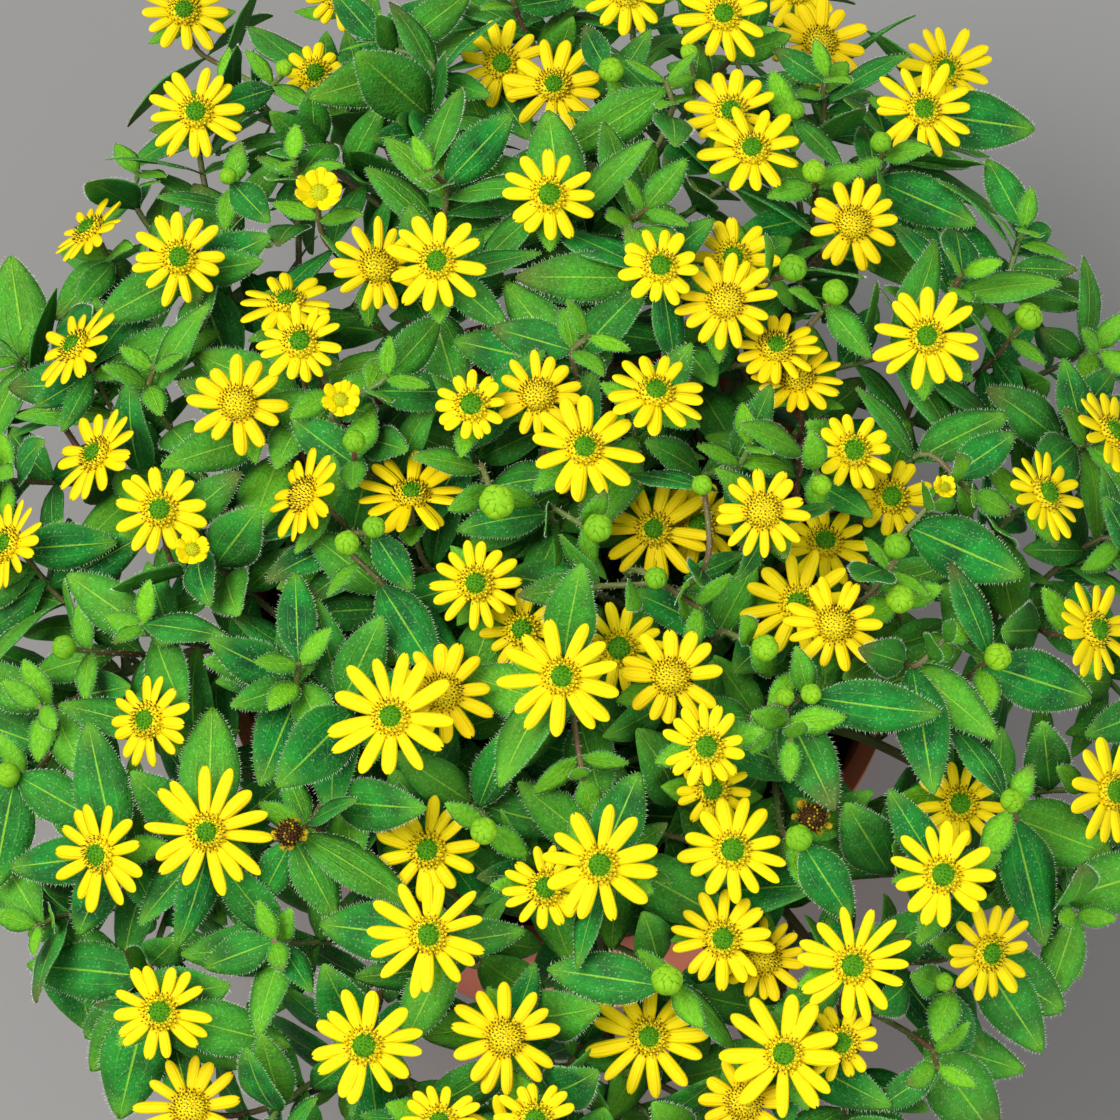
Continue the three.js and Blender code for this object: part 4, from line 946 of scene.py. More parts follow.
def addLeaf(heap, hairs, blade):
    template = leafletTemplate if blade["length"] < leafLook["leaflet"] else leafTemplate
    across, along, high = template["spots"].T
    c = across / (leafShape["width"] / 2)
    t = np.clip(along / leafShape["length"], 0, 1)
    even = leafLook["even"]
    t = even * t + (1 - even) * (1 - np.cos(np.pi * t)) / 2  # rows closer together at both ends
    size = blade["halfWidth"] / (leafShape["width"] / 2)
    phase, swing = draw(0, 6.28), draw(0.2, 1) * leafLook["wave"]
    wave = np.abs(c) ** 2 * swing * leafRipple(t, np.sign(c), phase)
    rise = high * size * np.sin(np.pi * np.clip(t, *leafLook["flatEnds"])) + wave * size
    width = np.clip(c, -leafLook["aside"], leafLook["aside"]) * leafWidths(blade, t)
    spots = leafPlace(blade, t * leafLook["tipEnd"], c, rise, width)
    purple = draw(0, 1) < leafLook["purpleShare"]
    tone = np.clip(blade["young"], 0, 1)
    isUnder = high < -leafShape["thick"] * 0.8 - leafShape["groove"] * (abs(c) < touching)
    look = np.stack((np.full(len(t), tone), purple * np.clip(t * 3 - 2, 0, 1), isUnder * 1.0), axis=1)
    uv = np.stack(((c + 1) / 2, t), axis=1)
    addShape(heap, template, spots, uv, look, 0)
    addMarginHairs(hairs, blade, swing * size, phase)


hairLook = {"every": 0.52, "long": 0.82, "thin": 0.066, "lean": 0.5, "shade": 14, "span": (0.04, 0.95),
            "uneven": 0.4, "aside": 0.98, "low": 0.8, "ahead": 0.02, "swing": (0.5, 0.4),
            "longs": (0.8, 0.35), "fullLeaf": 20, "least": 0.6, "stemReach": 30, "stemEvery": 0.55,
            "stemTurn": 2.4, "stemRise": 0.3}


def addHairs(hairs, roots, ways, longs):  # closed three-sided spikes
    if not len(roots):
        return
    way = ways / np.linalg.norm(ways, axis=1)[:, None]
    first = np.cross(way, np.array((0.31, 0.2, 0.93)))
    first /= np.linalg.norm(first, axis=1)[:, None]
    second = np.cross(way, first)
    base = hairTemplate["spots"]
    around = first[:, None] * base[:, 0, None] + second[:, None] * base[:, 1, None]
    forward = way[:, None] * (base[:, 2, None] * longs[:, None, None])
    spots = roots[:, None] + around * hairLook["thin"] + forward
    addShape(hairs, hairTemplate, spots.reshape(-1, 3), (0.5, 0.5), (0.5, 0, 0), 0)


def addMarginHairs(hairs, blade, wave, phase):
    middle = blade["root"] + blade["run"] * blade["length"] / 2
    if middle[2] < crownHeight(*middle[:2]) - hairLook["shade"]:
        return
    count = int(blade["length"] / hairLook["every"])
    chance = np.random.default_rng(int(phase * 10000))
    start, span = hairLook["span"]
    leanSwing, liftSwing = hairLook["swing"]
    least, more = hairLook["longs"]
    for side in (-1, 1):
        jitter = chance.uniform(-1, 1, count)
        uneven = chance.uniform(-hairLook["uneven"], hairLook["uneven"], count)
        t = start + span * (np.arange(count) + 0.5 + uneven) / count
        c = np.full(count, side * hairLook["aside"])
        rise = wave * leafRipple(t, side, phase) - leafShape["roll"] * np.sin(np.pi * t) * hairLook["low"]
        width = c * leafWidths(blade, t)
        roots = leafPlace(blade, t * leafLook["tipEnd"], c, rise, width)
        further = np.minimum(1, t + hairLook["ahead"]) * leafLook["tipEnd"]
        edge = leafPlace(blade, further, c, rise, width) - roots
        edge /= np.linalg.norm(edge, axis=1)[:, None]
        ways = edge * (hairLook["lean"] + leanSwing * jitter[::-1, None]) + blade["side"] * side
        ways = ways + blade["face"] * jitter[:, None] * liftSwing
        share = np.clip(blade["length"] / hairLook["fullLeaf"], hairLook["least"], 1)
        addHairs(hairs, roots, ways, hairLook["long"] * (least + more * jitter) * share)


# Blooms
petalLook = {"root": 1.9, "halfWidth": 1.2, "rootShare": 0.6, "widest": 0.55, "tip": 0.7, "least": 0.03,
             "dense": 1.6}


def petalWidths(s, halfWidth):
    opening = np.sin(np.pi / 2 * np.minimum(1, s / petalLook["widest"]))
    body = petalLook["rootShare"] + (1 - petalLook["rootShare"]) * opening
    end = np.clip((s - petalLook["tip"]) / (1 - petalLook["tip"]), 0, 1)
    return halfWidth * body * np.maximum(petalLook["least"], 1 - end ** 2.2) ** 0.5


def addPetals(heap, head, toward, count, halfWidth, root, reach, rise, arch, spread, withered=0):
    across, along, high = petalTemplate["spots"].T
    c = across / (petalShape["width"] / 2)
    s = np.clip(along / petalShape["length"], 0, 1)
    s = 1 - (1 - s) ** petalLook["dense"]  # rows closer together at the tip
    turn = draw(0, 6.28)
    for i in range(count):
        turn += 2 * math.pi / count
        angle = turn + draw(-spread, spread)
        length = (reach - root) * draw(0.83, 1.04)
        lift, bow, twist = rise + draw(-0.09, 0.09), arch * draw(0.2, 1.5), draw(-0.25, 0.25)
        notch = max(0, draw(-1.2, 0.7)) * (1 - abs(c)) * s ** 9
        width = petalWidths(s, halfWidth * draw(0.84, 1.14)) * c
        aside = width + draw(-0.06, 0.06) * s ** 2 * length
        out = root + s * length * math.cos(lift) - bow * 0.3 * s ** 3 - notch
        height = s * length * math.sin(lift) - bow * s ** 2.2 + high + twist * width * s
        x = out * math.cos(angle) - aside * math.sin(angle)
        y = out * math.sin(angle) + aside * math.cos(angle)
        placed = onHead(head, np.stack((x, y, height), axis=1), toward)
        tone = np.clip((head["age"] - 0.5) / 1.5 + draw(-0.12, 0.12), 0, 1)
        look = (tone, withered * draw(0.6, 1), 0)
        addShape(heap, petalTemplate, placed, np.stack(((c + 1) / 2, s), axis=1), look, 0)


discLook = {"radius": 2.95, "height": 1.5, "pegs": 58, "specks": 78, "scales": 38, "eye": 2.4,
            "eyeLess": 0.4, "eyeHeight": 1.1, "eyeFoot": 0.85, "eyeOpen": 1.75, "witheredAge": 2.5,
            "cupHeight": 1.1}


def floretSpots(count, radius):  # how far out and at which turn each floret of a disc stands
    return [(math.sqrt((i + 0.5) / count) * radius, i * goldenTurn) for i in range(count)]


def domeHeight(reach, radius, height):
    return height * math.sqrt(max(0, 1 - (reach / radius) ** 2))


def addPeg(heap, head, toward, template, reach, turn, rise, lean, tall, tint, wide=1):
    normal = unit(np.array((math.cos(turn) * lean, math.sin(turn) * lean, 1)))
    foot = np.array((math.cos(turn) * reach, math.sin(turn) * reach, rise - 0.15))
    spots = foot + turned(template["spots"] * (wide, wide, tall), normal, np.array((0.2, 0.9, 0.1)))
    addShape(heap, template, onHead(head, spots, toward), (0.5, 0.5), (tint, 0, 0), 1)


def addDome(heap, head, toward, radius, height, foot, tint):
    dome = domeTemplate["spots"] * (radius, radius, height) + (0, 0, foot)
    addShape(heap, domeTemplate, onHead(head, dome, toward), (0.5, 0.5), (tint, 0, 0), 1)


def addDisc(heap, head, toward, radius, height, age):
    isWithered = age > discLook["witheredAge"]
    addDome(heap, head, toward, radius, height, 0, 0.92 if isWithered else 0.62)
    eye = 0  # the part of the disc still closed and green
    if age <= discLook["eyeOpen"]:
        eye = (discLook["eye"] - discLook["eyeLess"] * age) * (radius / discLook["radius"])
        addDome(heap, head, toward, eye, discLook["eyeHeight"], discLook["eyeFoot"], 0.1)
        for reach, turn in floretSpots(discLook["scales"], eye):
            rise = domeHeight(reach, eye * 1.06, discLook["eyeHeight"]) + discLook["eyeFoot"]
            addPeg(heap, head, toward, scaleTemplate, reach, turn, rise, lean=0.9 * reach / eye, tall=0.42,
                   tint=draw(0, 0.5) * (reach / eye) ** 1.5)
    for i, (reach, turn) in enumerate(floretSpots(discLook["pegs"], radius * 1.08)):
        if reach > eye:
            tint = 0.65 + draw(-0.08, 0.06)
            if isWithered:
                tint += 0.29 if i % 4 else 0.17
            rise = domeHeight(reach, radius * 1.1, height)
            addPeg(heap, head, toward, floretTemplate, reach, turn, rise, lean=0.5 * reach / radius,
                   tall=0.45 + draw(-0.1, 0.1), tint=tint)
    ripe = np.clip(age - 0.8, 0, 1)
    for reach, turn in floretSpots(int(discLook["specks"] * (1 + ripe * 0.5)), radius * 1.24):
        if reach > eye * 0.98:
            rise = domeHeight(reach, radius * 1.2, height)
            addPeg(heap, head, toward, speckTemplate, reach, turn + 0.7, rise, lean=0.5 * reach / radius,
                   tall=0.85 + draw(-0.1, 0.25), tint=0.97, wide=draw(0.8, 1.2) + ripe * 0.45)


def addCupMiddle(heap, head, toward, radius):  # the young florets of a head that is opening
    addDome(heap, head, toward, radius, discLook["cupHeight"], 0, 0.4)
    for reach, turn in floretSpots(discLook["scales"], radius):
        rise = domeHeight(reach, radius * 1.06, discLook["cupHeight"])
        addPeg(heap, head, toward, scaleTemplate, reach, turn, rise, lean=0.8 * reach / radius, tall=0.4,
               tint=draw(0.33, 0.52), wide=0.6)


bloomLook = {"petals": 12, "more": 3, "usual": 13, "fullRadius": 10, "discFull": 9, "cupPetals": 9,
             "cupFull": 6}


def addBloom(heap, foliage, head):
    toward = np.array((1.0, 0.3, 0.2))
    radius, age = head["radius"], head["age"]
    if head["kind"] == "bloom":
        count = bloomLook["petals"] + int(draw(0, bloomLook["more"]))
        wide = (0.5 + 0.5 * radius / bloomLook["fullRadius"]) * bloomLook["usual"] / count
        addPetals(heap, head, toward, count, petalLook["halfWidth"] * wide, petalLook["root"],
                  radius * 1.05, rise=0.08, arch=0.55, spread=0.13)
        discRadius = discLook["radius"] * (0.75 + 0.25 * min(1, radius / bloomLook["discFull"]))
        addDisc(heap, head, toward, discRadius, discLook["height"], age)
    elif age < 3:
        addPetals(heap, head, toward, bloomLook["cupPetals"], radius * 0.36, radius * 0.25, radius * 1.15,
                  rise=0.5, arch=-radius * 0.25, spread=0.16)
        addCupMiddle(heap, head, toward, radius * 0.42)
    else:
        addPetals(heap, head, toward, bloomLook["cupPetals"], 0.6, radius * 0.5, radius * 1.3,
                  rise=0.5, arch=1.2, spread=0.3, withered=1)
        addDisc(heap, head, toward, radius * 0.7, 1.6, age)
    cup = cupTemplate["spots"] * min(1, radius / bloomLook["cupFull"])
    addShape(foliage, cupTemplate, onHead(head, cup, toward), (0.5, 0.9), (0.5, 0, 0), 2)


budLook = {"flat": 0.94, "sepals": 5, "half": 0.62, "low": -1.35, "high": (0.95, 1.35), "lap": 0.1,
           "apart": 0.05}


def addSepals(foliage, head, toward, tone):  # two whorls of bracts that lap over the bud
    c, s, wall = sepalTemplate["spots"].T
    half = budLook["half"] * np.sin(np.pi * np.clip(0.25 + s * 0.74, 0, 1)) ** 0.8
    for whorl, high in enumerate(budLook["high"]):
        rise = budLook["low"] + (high - budLook["low"]) * s  # angle up the ball
        lap = (budLook["lap"] - whorl * budLook["apart"]) * (0.4 + 0.6 * s) * (1 - 0.5 * abs(c))
        out = 1.0 + wall + lap
        for i in range(budLook["sepals"]):
            turn = (i + whorl * 0.5) / budLook["sepals"] * 2 * math.pi
            angle = turn + c * half / np.maximum(0.25, np.cos(rise))
            spots = np.stack((np.cos(angle) * np.cos(rise) * out, np.sin(angle) * np.cos(rise) * out,
                              np.sin(rise) * budLook["flat"] * out), axis=1) * head["radius"]
            uv = np.stack(((c + 1) / 2, s), axis=1)
            addShape(foliage, sepalTemplate, onHead(head, spots, toward), uv, (tone, 0, 0), 2)


def addBud(foliage, head):
    toward = unit(np.array((math.cos(head["radius"] * 40), math.sin(head["radius"] * 40), 0.2)))
    tone = draw(0.45, 1)
    ball = ballTemplate["spots"] * (1, 1, budLook["flat"]) * head["radius"]
    addShape(foliage, ballTemplate, onHead(head, ball, toward), (0.5, 0.5), (tone + 0.1, 0, 0), 2)
    addSepals(foliage, head, toward, tone)


# Stems: one curve with a round section for each spray
stemLook = {"main": 1.1, "side": 0.64, "tip": 0.85, "around": 2}


def addStems(foliage, spray, members):
    curve = bpy.data.curves.new("stems", "CURVE")
    curve.dimensions = "3D"
    curve.bevel_depth = 1
    curve.bevel_resolution = stemLook["around"] - 1
    curve.use_fill_caps = True
    for stalk in members:
        path = stalk["path"]
        spline = curve.splines.new("POLY")
        spline.points.add(len(path) - 1)
        spline.points.foreach_set("co", np.concatenate((path, np.ones((len(path), 1))), axis=1).ravel())
        thick = stemLook["main"] if stalk is spray["stalk"] else stemLook["side"]
        spline.points.foreach_set("radius", np.linspace(thick, thick * stemLook["tip"], len(path)))
    stems = bpy.data.objects.new("stems", curve)
    bpy.context.scene.collection.objects.link(stems)
    startModelling()
    stems.select_set(True)
    bpy.context.view_layer.objects.active = stems
    bpy.ops.object.convert(target="MESH")
    tubes = takeShape(bpy.context.object)
    addShape(foliage, tubes, tubes["spots"], (0.5, 0.5), (0.3, 0, 0), 1)


def addStemHairs(hairs, stalk):
    reach = min(stemLength(stalk["path"]), hairLook["stemReach"])
    count = int(reach / hairLook["stemEvery"])
    roots = stemPlaces(stalk["path"], np.linspace(0.5, reach, count))
    turns = np.arange(count) * hairLook["stemTurn"] + draw(0, 6.28)
    ways = np.stack((np.cos(turns), np.sin(turns), np.full(count, hairLook["stemRise"])), axis=1)
    addHairs(hairs, roots + ways * stemLook["side"] * 0.85, ways, np.full(count, hairLook["long"] * 0.9))


# Finishes
def newFinish(name, roughness, gloss=0.5):
    finish = bpy.data.materials.new(name)
    finish.use_nodes = True
    shader = finish.node_tree.nodes["Principled BSDF"]
    shader.inputs["Roughness"].default_value = roughness
    shader.inputs["Specular IOR Level"].default_value = gloss
    return finish, finish.node_tree, shader


def addNode(tree, kind, **values):
    node = tree.nodes.new(kind)
    for key, value in values.items():
        setattr(node, key, value)
    return node


def link(tree, source, target):
    tree.links.new(source, target)


def mathNode(tree, operation, first, second=None, clamp=False):
    node = addNode(tree, "ShaderNodeMath", operation=operation, use_clamp=clamp)
    for socket, value in zip(node.inputs, (first, second)):
        if isinstance(value, (int, float)):
            socket.default_value = value
        elif value is not None:
            link(tree, value, socket)
    return node.outputs[0]


def mixColors(tree, share, first, second):
    node = addNode(tree, "ShaderNodeMix", data_type="RGBA")
    for socket, value in zip((node.inputs[0], node.inputs[6], node.inputs[7]), (share, first, second)):
        if isinstance(value, (int, float)):
            socket.default_value = value
        elif isinstance(value, tuple):
            socket.default_value = (*value, 1)
        else:
            link(tree, value, socket)
    return node.outputs[2]


def tinted(tree, color, mask, share, tint):
    return mixColors(tree, mathNode(tree, "MULTIPLY", mask, share), color, tint)


def ramped(tree, value, low, high):  # nought at low, one at high, smooth between
    node = addNode(tree, "ShaderNodeMapRange", interpolation_type="SMOOTHSTEP")
    node.inputs["From Min"].default_value = low
    node.inputs["From Max"].default_value = high
    link(tree, value, node.inputs["Value"])
    return node.outputs["Result"]


def newGroup(name, inputs, outputs):
    group = bpy.data.node_groups.new(name, "ShaderNodeTree")
    for label, value in inputs.items():
        socket = group.interface.new_socket(label, in_out="INPUT", socket_type="NodeSocketFloat")
        socket.default_value = value
    for label in outputs:
        group.interface.new_socket(label, in_out="OUTPUT", socket_type="NodeSocketFloat")
    return group, group.nodes.new("NodeGroupInput"), group.nodes.new("NodeGroupOutput")


def placeGroup(tree, group, **values):
    node = addNode(tree, "ShaderNodeGroup", node_tree=group)
    for key, value in values.items():
        node.inputs[key].default_value = value
    return node.outputs["Mask"]


def makeMottle():
    group, start, end = newGroup("mottle", {"Scale": 300, "Contrast": 1}, ["Mask"])
    place = addNode(group, "ShaderNodeTexCoord")
    noise = addNode(group, "ShaderNodeTexNoise")
    noise.inputs["Detail"].default_value = 2
    link(group, place.outputs["Object"], noise.inputs["Vector"])
    link(group, start.outputs["Scale"], noise.inputs["Scale"])
    swing = mathNode(group, "MULTIPLY", mathNode(group, "SUBTRACT", noise.outputs["Fac"], 0.5),
                     start.outputs["Contrast"])
    link(group, mathNode(group, "ADD", swing, 0.5, True), end.inputs["Mask"])
    return group


def makeFuzz():
    group, start, end = newGroup("fuzz", {"Scale": 1400, "Size": 0.16}, ["Mask"])
    place = addNode(group, "ShaderNodeTexCoord")
    cells = addNode(group, "ShaderNodeTexVoronoi")
    link(group, place.outputs["Object"], cells.inputs["Vector"])
    link(group, start.outputs["Scale"], cells.inputs["Scale"])
    share = mathNode(group, "DIVIDE", cells.outputs["Distance"], start.outputs["Size"])
    link(group, mathNode(group, "SUBTRACT", 1, share, True), end.inputs["Mask"])
    return group


def makeStreaks():  # fine pressed hairs that lie along a blade
    group, start, end = newGroup("streaks", {"Across": 50, "Along": 20}, ["Mask"])
    layer = addNode(group, "ShaderNodeUVMap", uv_map="UVMap")
    scale = addNode(group, "ShaderNodeCombineXYZ")
    link(group, start.outputs["Across"], scale.inputs["X"])
    link(group, start.outputs["Along"], scale.inputs["Y"])
    place = addNode(group, "ShaderNodeVectorMath", operation="MULTIPLY")
    link(group, layer.outputs["UV"], place.inputs[0])
    link(group, scale.outputs["Vector"], place.inputs[1])
    noise = addNode(group, "ShaderNodeTexNoise")
    noise.inputs["Detail"].default_value = 2
    noise.inputs["Scale"].default_value = 1
    link(group, place.outputs["Vector"], noise.inputs["Vector"])
    link(group, ramped(group, noise.outputs["Fac"], 0.52, 0.72), end.inputs["Mask"])
    return group


mottle = makeMottle()
fuzz = makeFuzz()
streaks = makeStreaks()


def lookOf(tree):
    source = addNode(tree, "ShaderNodeAttribute", attribute_name="look")
    split = addNode(tree, "ShaderNodeSeparateColor")
    link(tree, source.outputs["Color"], split.inputs["Color"])
    return split.outputs


def bladeAxes(tree):  # how far from the midrib, and how far along
    layer = addNode(tree, "ShaderNodeUVMap", uv_map="UVMap")
    split = addNode(tree, "ShaderNodeSeparateXYZ")
    link(tree, layer.outputs["UV"], split.inputs["Vector"])
    offset = mathNode(tree, "ABSOLUTE", mathNode(tree, "SUBTRACT", split.outputs["X"], 0.5))
    return mathNode(tree, "MULTIPLY", offset, 2), split.outputs["Y"]


def addBump(tree, shader, height, strength, distance):
    bump = addNode(tree, "ShaderNodeBump")
    bump.inputs["Strength"].default_value = strength
    bump.inputs["Distance"].default_value = distance
    link(tree, height, bump.inputs["Height"])
    link(tree, bump.outputs["Normal"], shader.inputs["Normal"])


# The fuzz colour is the pale tint of hair specks; on the leaf blades it is partly real pale hair bases and
# partly a painted glint of their velvety sheen
leafColors = {"deep": (0.002, 0.07, 0.016), "mid": (0.007, 0.27, 0.026), "young": (0.23, 0.66, 0.01),
              "rib": (0.28, 0.6, 0.04), "under": (0.03, 0.2, 0.02), "purple": (0.09, 0.03, 0.03),
              "fuzz": (0.48, 0.74, 0.42), "edge": (0.14, 0.48, 0.09), "tip": (0.2, 0.5, 0.03)}


def makeLeafFinish():
    finish, tree, shader = newFinish("hairyLeaf", 0.6, 0.14)
    aside, along = bladeAxes(tree)
    tone, purple, under = lookOf(tree)[:3]
    patches = placeGroup(tree, mottle, Scale=170, Contrast=3.2)
    fine = placeGroup(tree, mottle, Scale=1500, Contrast=2.4)
    strands = placeGroup(tree, streaks, Across=55, Along=24)
    # Pale specks over the blade: partly real hair bases, partly painted glints of sheen, the same wherever
    # the light falls
    specks = placeGroup(tree, fuzz, Scale=1400, Size=0.27)
    rib = ramped(tree, aside, 0.06, 0.02)
    fromArch = mathNode(tree, "ABSOLUTE", mathNode(tree, "SUBTRACT", aside, 0.45))
    arching = mathNode(tree, "MULTIPLY", ramped(tree, fromArch, 0.06, 0.01), ramped(tree, along, 0.85, 0.3))
    slanted = mathNode(tree, "SUBTRACT", along, mathNode(tree, "MULTIPLY", aside, 0.33))
    ripple = mathNode(tree, "SINE", mathNode(tree, "MULTIPLY", slanted, 38))
    crossing = mathNode(tree, "MULTIPLY", ramped(tree, ripple, 0.9, 1), ramped(tree, aside, 0.9, 0.4))
    sideVein = mathNode(tree, "MAXIMUM", arching, mathNode(tree, "MULTIPLY", crossing, 0.5))
    color = mixColors(tree, patches, leafColors["deep"], leafColors["mid"])
    color = mixColors(tree, mathNode(tree, "POWER", tone, 1.5), color, leafColors["young"])
    # Among the coats, the fuzz specks are partly the real pale hairs and partly painted glints of the velvety
    # sheen
    coats = [(fine, 0.35, "deep"), (strands, 0.4, "edge"), (ramped(tree, aside, 0.86, 1), 0.5, "edge"),
             (ramped(tree, along, 0.7, 1), 0.5, "tip"), (sideVein, 0.16, "rib"), (rib, 0.75, "rib"),
             (under, 0.6, "under"), (purple, 0.7, "purple"), (specks, 0.47, "fuzz")]
    for mask, share, name in coats:
        color = tinted(tree, color, mask, share, leafColors[name])
    link(tree, color, shader.inputs["Base Color"])
    raised = mathNode(tree, "MULTIPLY", mathNode(tree, "ADD", fine, strands), 0.5)
    ribSunk = mathNode(tree, "MULTIPLY", rib, 0.8)
    sunk = mathNode(tree, "ADD", ribSunk, mathNode(tree, "MULTIPLY", sideVein, 0.7))
    addBump(tree, shader, mathNode(tree, "SUBTRACT", raised, sunk), 0.7, 0.0004)
    return finish


def makeStemFinish():
    finish, tree, shader = newFinish("hairyStem", 0.55)
    patches = placeGroup(tree, mottle, Scale=60, Contrast=2.6)
    specks = placeGroup(tree, fuzz, Scale=1500, Size=0.2)
    color = mixColors(tree, patches, (0.1, 0.2, 0.03), (0.14, 0.055, 0.03))
    link(tree, tinted(tree, color, specks, 0.5, leafColors["fuzz"]), shader.inputs["Base Color"])
    addBump(tree, shader, placeGroup(tree, mottle, Scale=900, Contrast=1.5), 0.4, 0.0003)
    return finish


def makeBudFinish():
    finish, tree, shader = newFinish("budGreen", 0.55, 0.1)
    aside, along = bladeAxes(tree)
    grain = placeGroup(tree, mottle, Scale=700, Contrast=2)
    specks = placeGroup(tree, fuzz, Scale=1500, Size=0.2)
    color = mixColors(tree, lookOf(tree)[0], (0.05, 0.24, 0.012), (0.26, 0.52, 0.014))
    color = tinted(tree, color, ramped(tree, aside, 0.7, 1), 0.3, (0.06, 0.25, 0.01))
    color = tinted(tree, color, grain, 0.4, (0.07, 0.26, 0.01))
    color = tinted(tree, color, specks, 0.12, leafColors["fuzz"])
    link(tree, color, shader.inputs["Base Color"])
    addBump(tree, shader, mathNode(tree, "SUBTRACT", 1, ramped(tree, aside, 0.8, 1)), 0.2, 0.0004)
    return finish


def makePetalFinish():
    finish, tree, shader = newFinish("petalYellow", 0.6, 0.15)
    aside, along = bladeAxes(tree)
    tone, withered = lookOf(tree)[:2]
    grooves = mathNode(tree, "SINE", mathNode(tree, "MULTIPLY", aside, 14))
    color = mixColors(tree, tone, (0.83, 0.67, 0.0), (0.84, 0.6, 0.0))
    color = tinted(tree, color, withered, 0.8, (0.14, 0.07, 0.01))
    color = tinted(tree, color, ramped(tree, along, 0.3, 0), 0.3, (0.8, 0.5, 0.0))
    color = tinted(tree, color, ramped(tree, grooves, 0.6, 1), 0.12, (0.7, 0.5, 0.0))
    link(tree, color, shader.inputs["Base Color"])
    grain = placeGroup(tree, mottle, Scale=2500, Contrast=1)
    addBump(tree, shader, mathNode(tree, "ADD", grooves, grain), 0.25, 0.0002)
    return finish


# From closed green florets by open yellow ones to brown specks
floretStops = [(0.0, (0.006, 0.15, 0.003)), (0.32, (0.2, 0.46, 0.01)), (0.5, (0.75, 0.55, 0.01)),
               (0.65, (0.9, 0.72, 0.01)), (0.9, (0.08, 0.03, 0.01)), (1.0, (0.04, 0.015, 0.008))]


def makeFloretFinish():
    finish, tree, shader = newFinish("discFlorets", 0.6, 0.08)
    ramp = addNode(tree, "ShaderNodeValToRGB")
    for i, (place, color) in enumerate(floretStops):
        stop = ramp.color_ramp.elements[i] if i < 2 else ramp.color_ramp.elements.new(place)
        stop.position = place
        stop.color = (*color, 1)
    link(tree, lookOf(tree)[0], ramp.inputs["Fac"])
    grain = placeGroup(tree, mottle, Scale=2500, Contrast=2)
    color = tinted(tree, ramp.outputs["Color"], grain, 0.15, (0.1, 0.1, 0.01))
    link(tree, color, shader.inputs["Base Color"])
    return finish


def makeHairFinish():
    finish, tree, shader = newFinish("whiteHair", 0.4)
    patches = placeGroup(tree, mottle, Scale=400, Contrast=2)
    color = mixColors(tree, patches, (0.5, 0.66, 0.4), (0.76, 0.84, 0.66))
    link(tree, color, shader.inputs["Base Color"])
    return finish


def makePotFinish():
    finish, tree, shader = newFinish("clayPlastic", 0.5)
    clouds = placeGroup(tree, mottle, Scale=25, Contrast=1.5)
    grain = placeGroup(tree, mottle, Scale=1200, Contrast=2)
    color = mixColors(tree, clouds, (0.72, 0.15, 0.07), (0.84, 0.24, 0.12))
    link(tree, tinted(tree, color, grain, 0.15, (0.45, 0.1, 0.05)), shader.inputs["Base Color"])
    addBump(tree, shader, grain, 0.2, 0.0002)
    return finish


def makeSoilFinish():
    finish, tree, shader = newFinish("pottingMix", 0.9)
    crumbs = placeGroup(tree, mottle, Scale=420, Contrast=3)
    flecks = placeGroup(tree, fuzz, Scale=300, Size=0.2)
    color = mixColors(tree, crumbs, (0.006, 0.004, 0.003), (0.05, 0.032, 0.02))
    link(tree, tinted(tree, color, flecks, 0.35, (0.2, 0.15, 0.1)), shader.inputs["Base Color"])
    addBump(tree, shader, crumbs, 0.8, 0.001)
    return finish


leafFinish = makeLeafFinish()
stemFinish = makeStemFinish()
budFinish = makeBudFinish()
petalFinish = makePetalFinish()
floretFinish = makeFloretFinish()
hairFinish = makeHairFinish()
potFinish = makePotFinish()
soilFinish = makeSoilFinish()
print("finishes made")


# Pot and soil
potLook = {"around": 128, "holeSides": 20, "soft": 0.4, "softSteps": 2, "softAngle": 0.5, "drillAt": 3}
smoothUnder = math.radians(40)


def potRadius(height):
    widening = pot["rim"] - pot["bandOut"] - pot["foot"]
    return pot["foot"] + widening * height / (pot["height"] - pot["band"])


def spunShell(name, outline, around):  # a closed shell turned round the upright axis
    startModelling()
    mesh = bpy.data.meshes.new(name)
    edges = [(i, i + 1) for i in range(len(outline) - 1)]
    mesh.from_pydata([(x * mm, 0, z * mm) for x, z in outline], edges, [])
    shell = bpy.data.objects.new(name, mesh)
    bpy.context.scene.collection.objects.link(shell)
    shell.select_set(True)
    bpy.context.view_layer.objects.active = shell
    bpy.ops.object.mode_set(mode="EDIT")
    bpy.ops.mesh.select_all(action="SELECT")
    bpy.ops.mesh.spin(steps=around, angle=2 * math.pi, center=(0, 0, 0), axis=(0, 0, 1))
    bpy.ops.mesh.select_all(action="SELECT")
    bpy.ops.mesh.remove_doubles(threshold=0.00001)
    bpy.ops.mesh.normals_make_consistent(inside=False)
    bpy.ops.object.mode_set(mode="OBJECT")
    return shell


def finishPiece(piece, finish, name):
    piece.data.materials.clear()
    piece.data.materials.append(finish)
    bpy.context.view_layer.objects.active = piece
    startModelling()
    piece.select_set(True)
    bpy.ops.object.shade_smooth_by_angle(angle=smoothUnder)
    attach(piece, plantBody)
    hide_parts(name)


def drillDrain(shell, turn):
    startModelling()
    across = pot["drainRing"] * mm * math.cos(turn)
    deep = pot["drainRing"] * mm * math.sin(turn)
    bpy.ops.mesh.primitive_cylinder_add(
        vertices=potLook["holeSides"], radius=pot["drain"] * mm, depth=pot["floor"] * 4 * mm,
        location=(across, deep, potLook["drillAt"] * mm))
    drill = bpy.context.object
    hole = shell.modifiers.new("drain", "BOOLEAN")
    hole.object = drill
    hole.operation = "DIFFERENCE"
    hole.solver = "EXACT"
    applyAll(shell)
    bpy.data.objects.remove(drill)


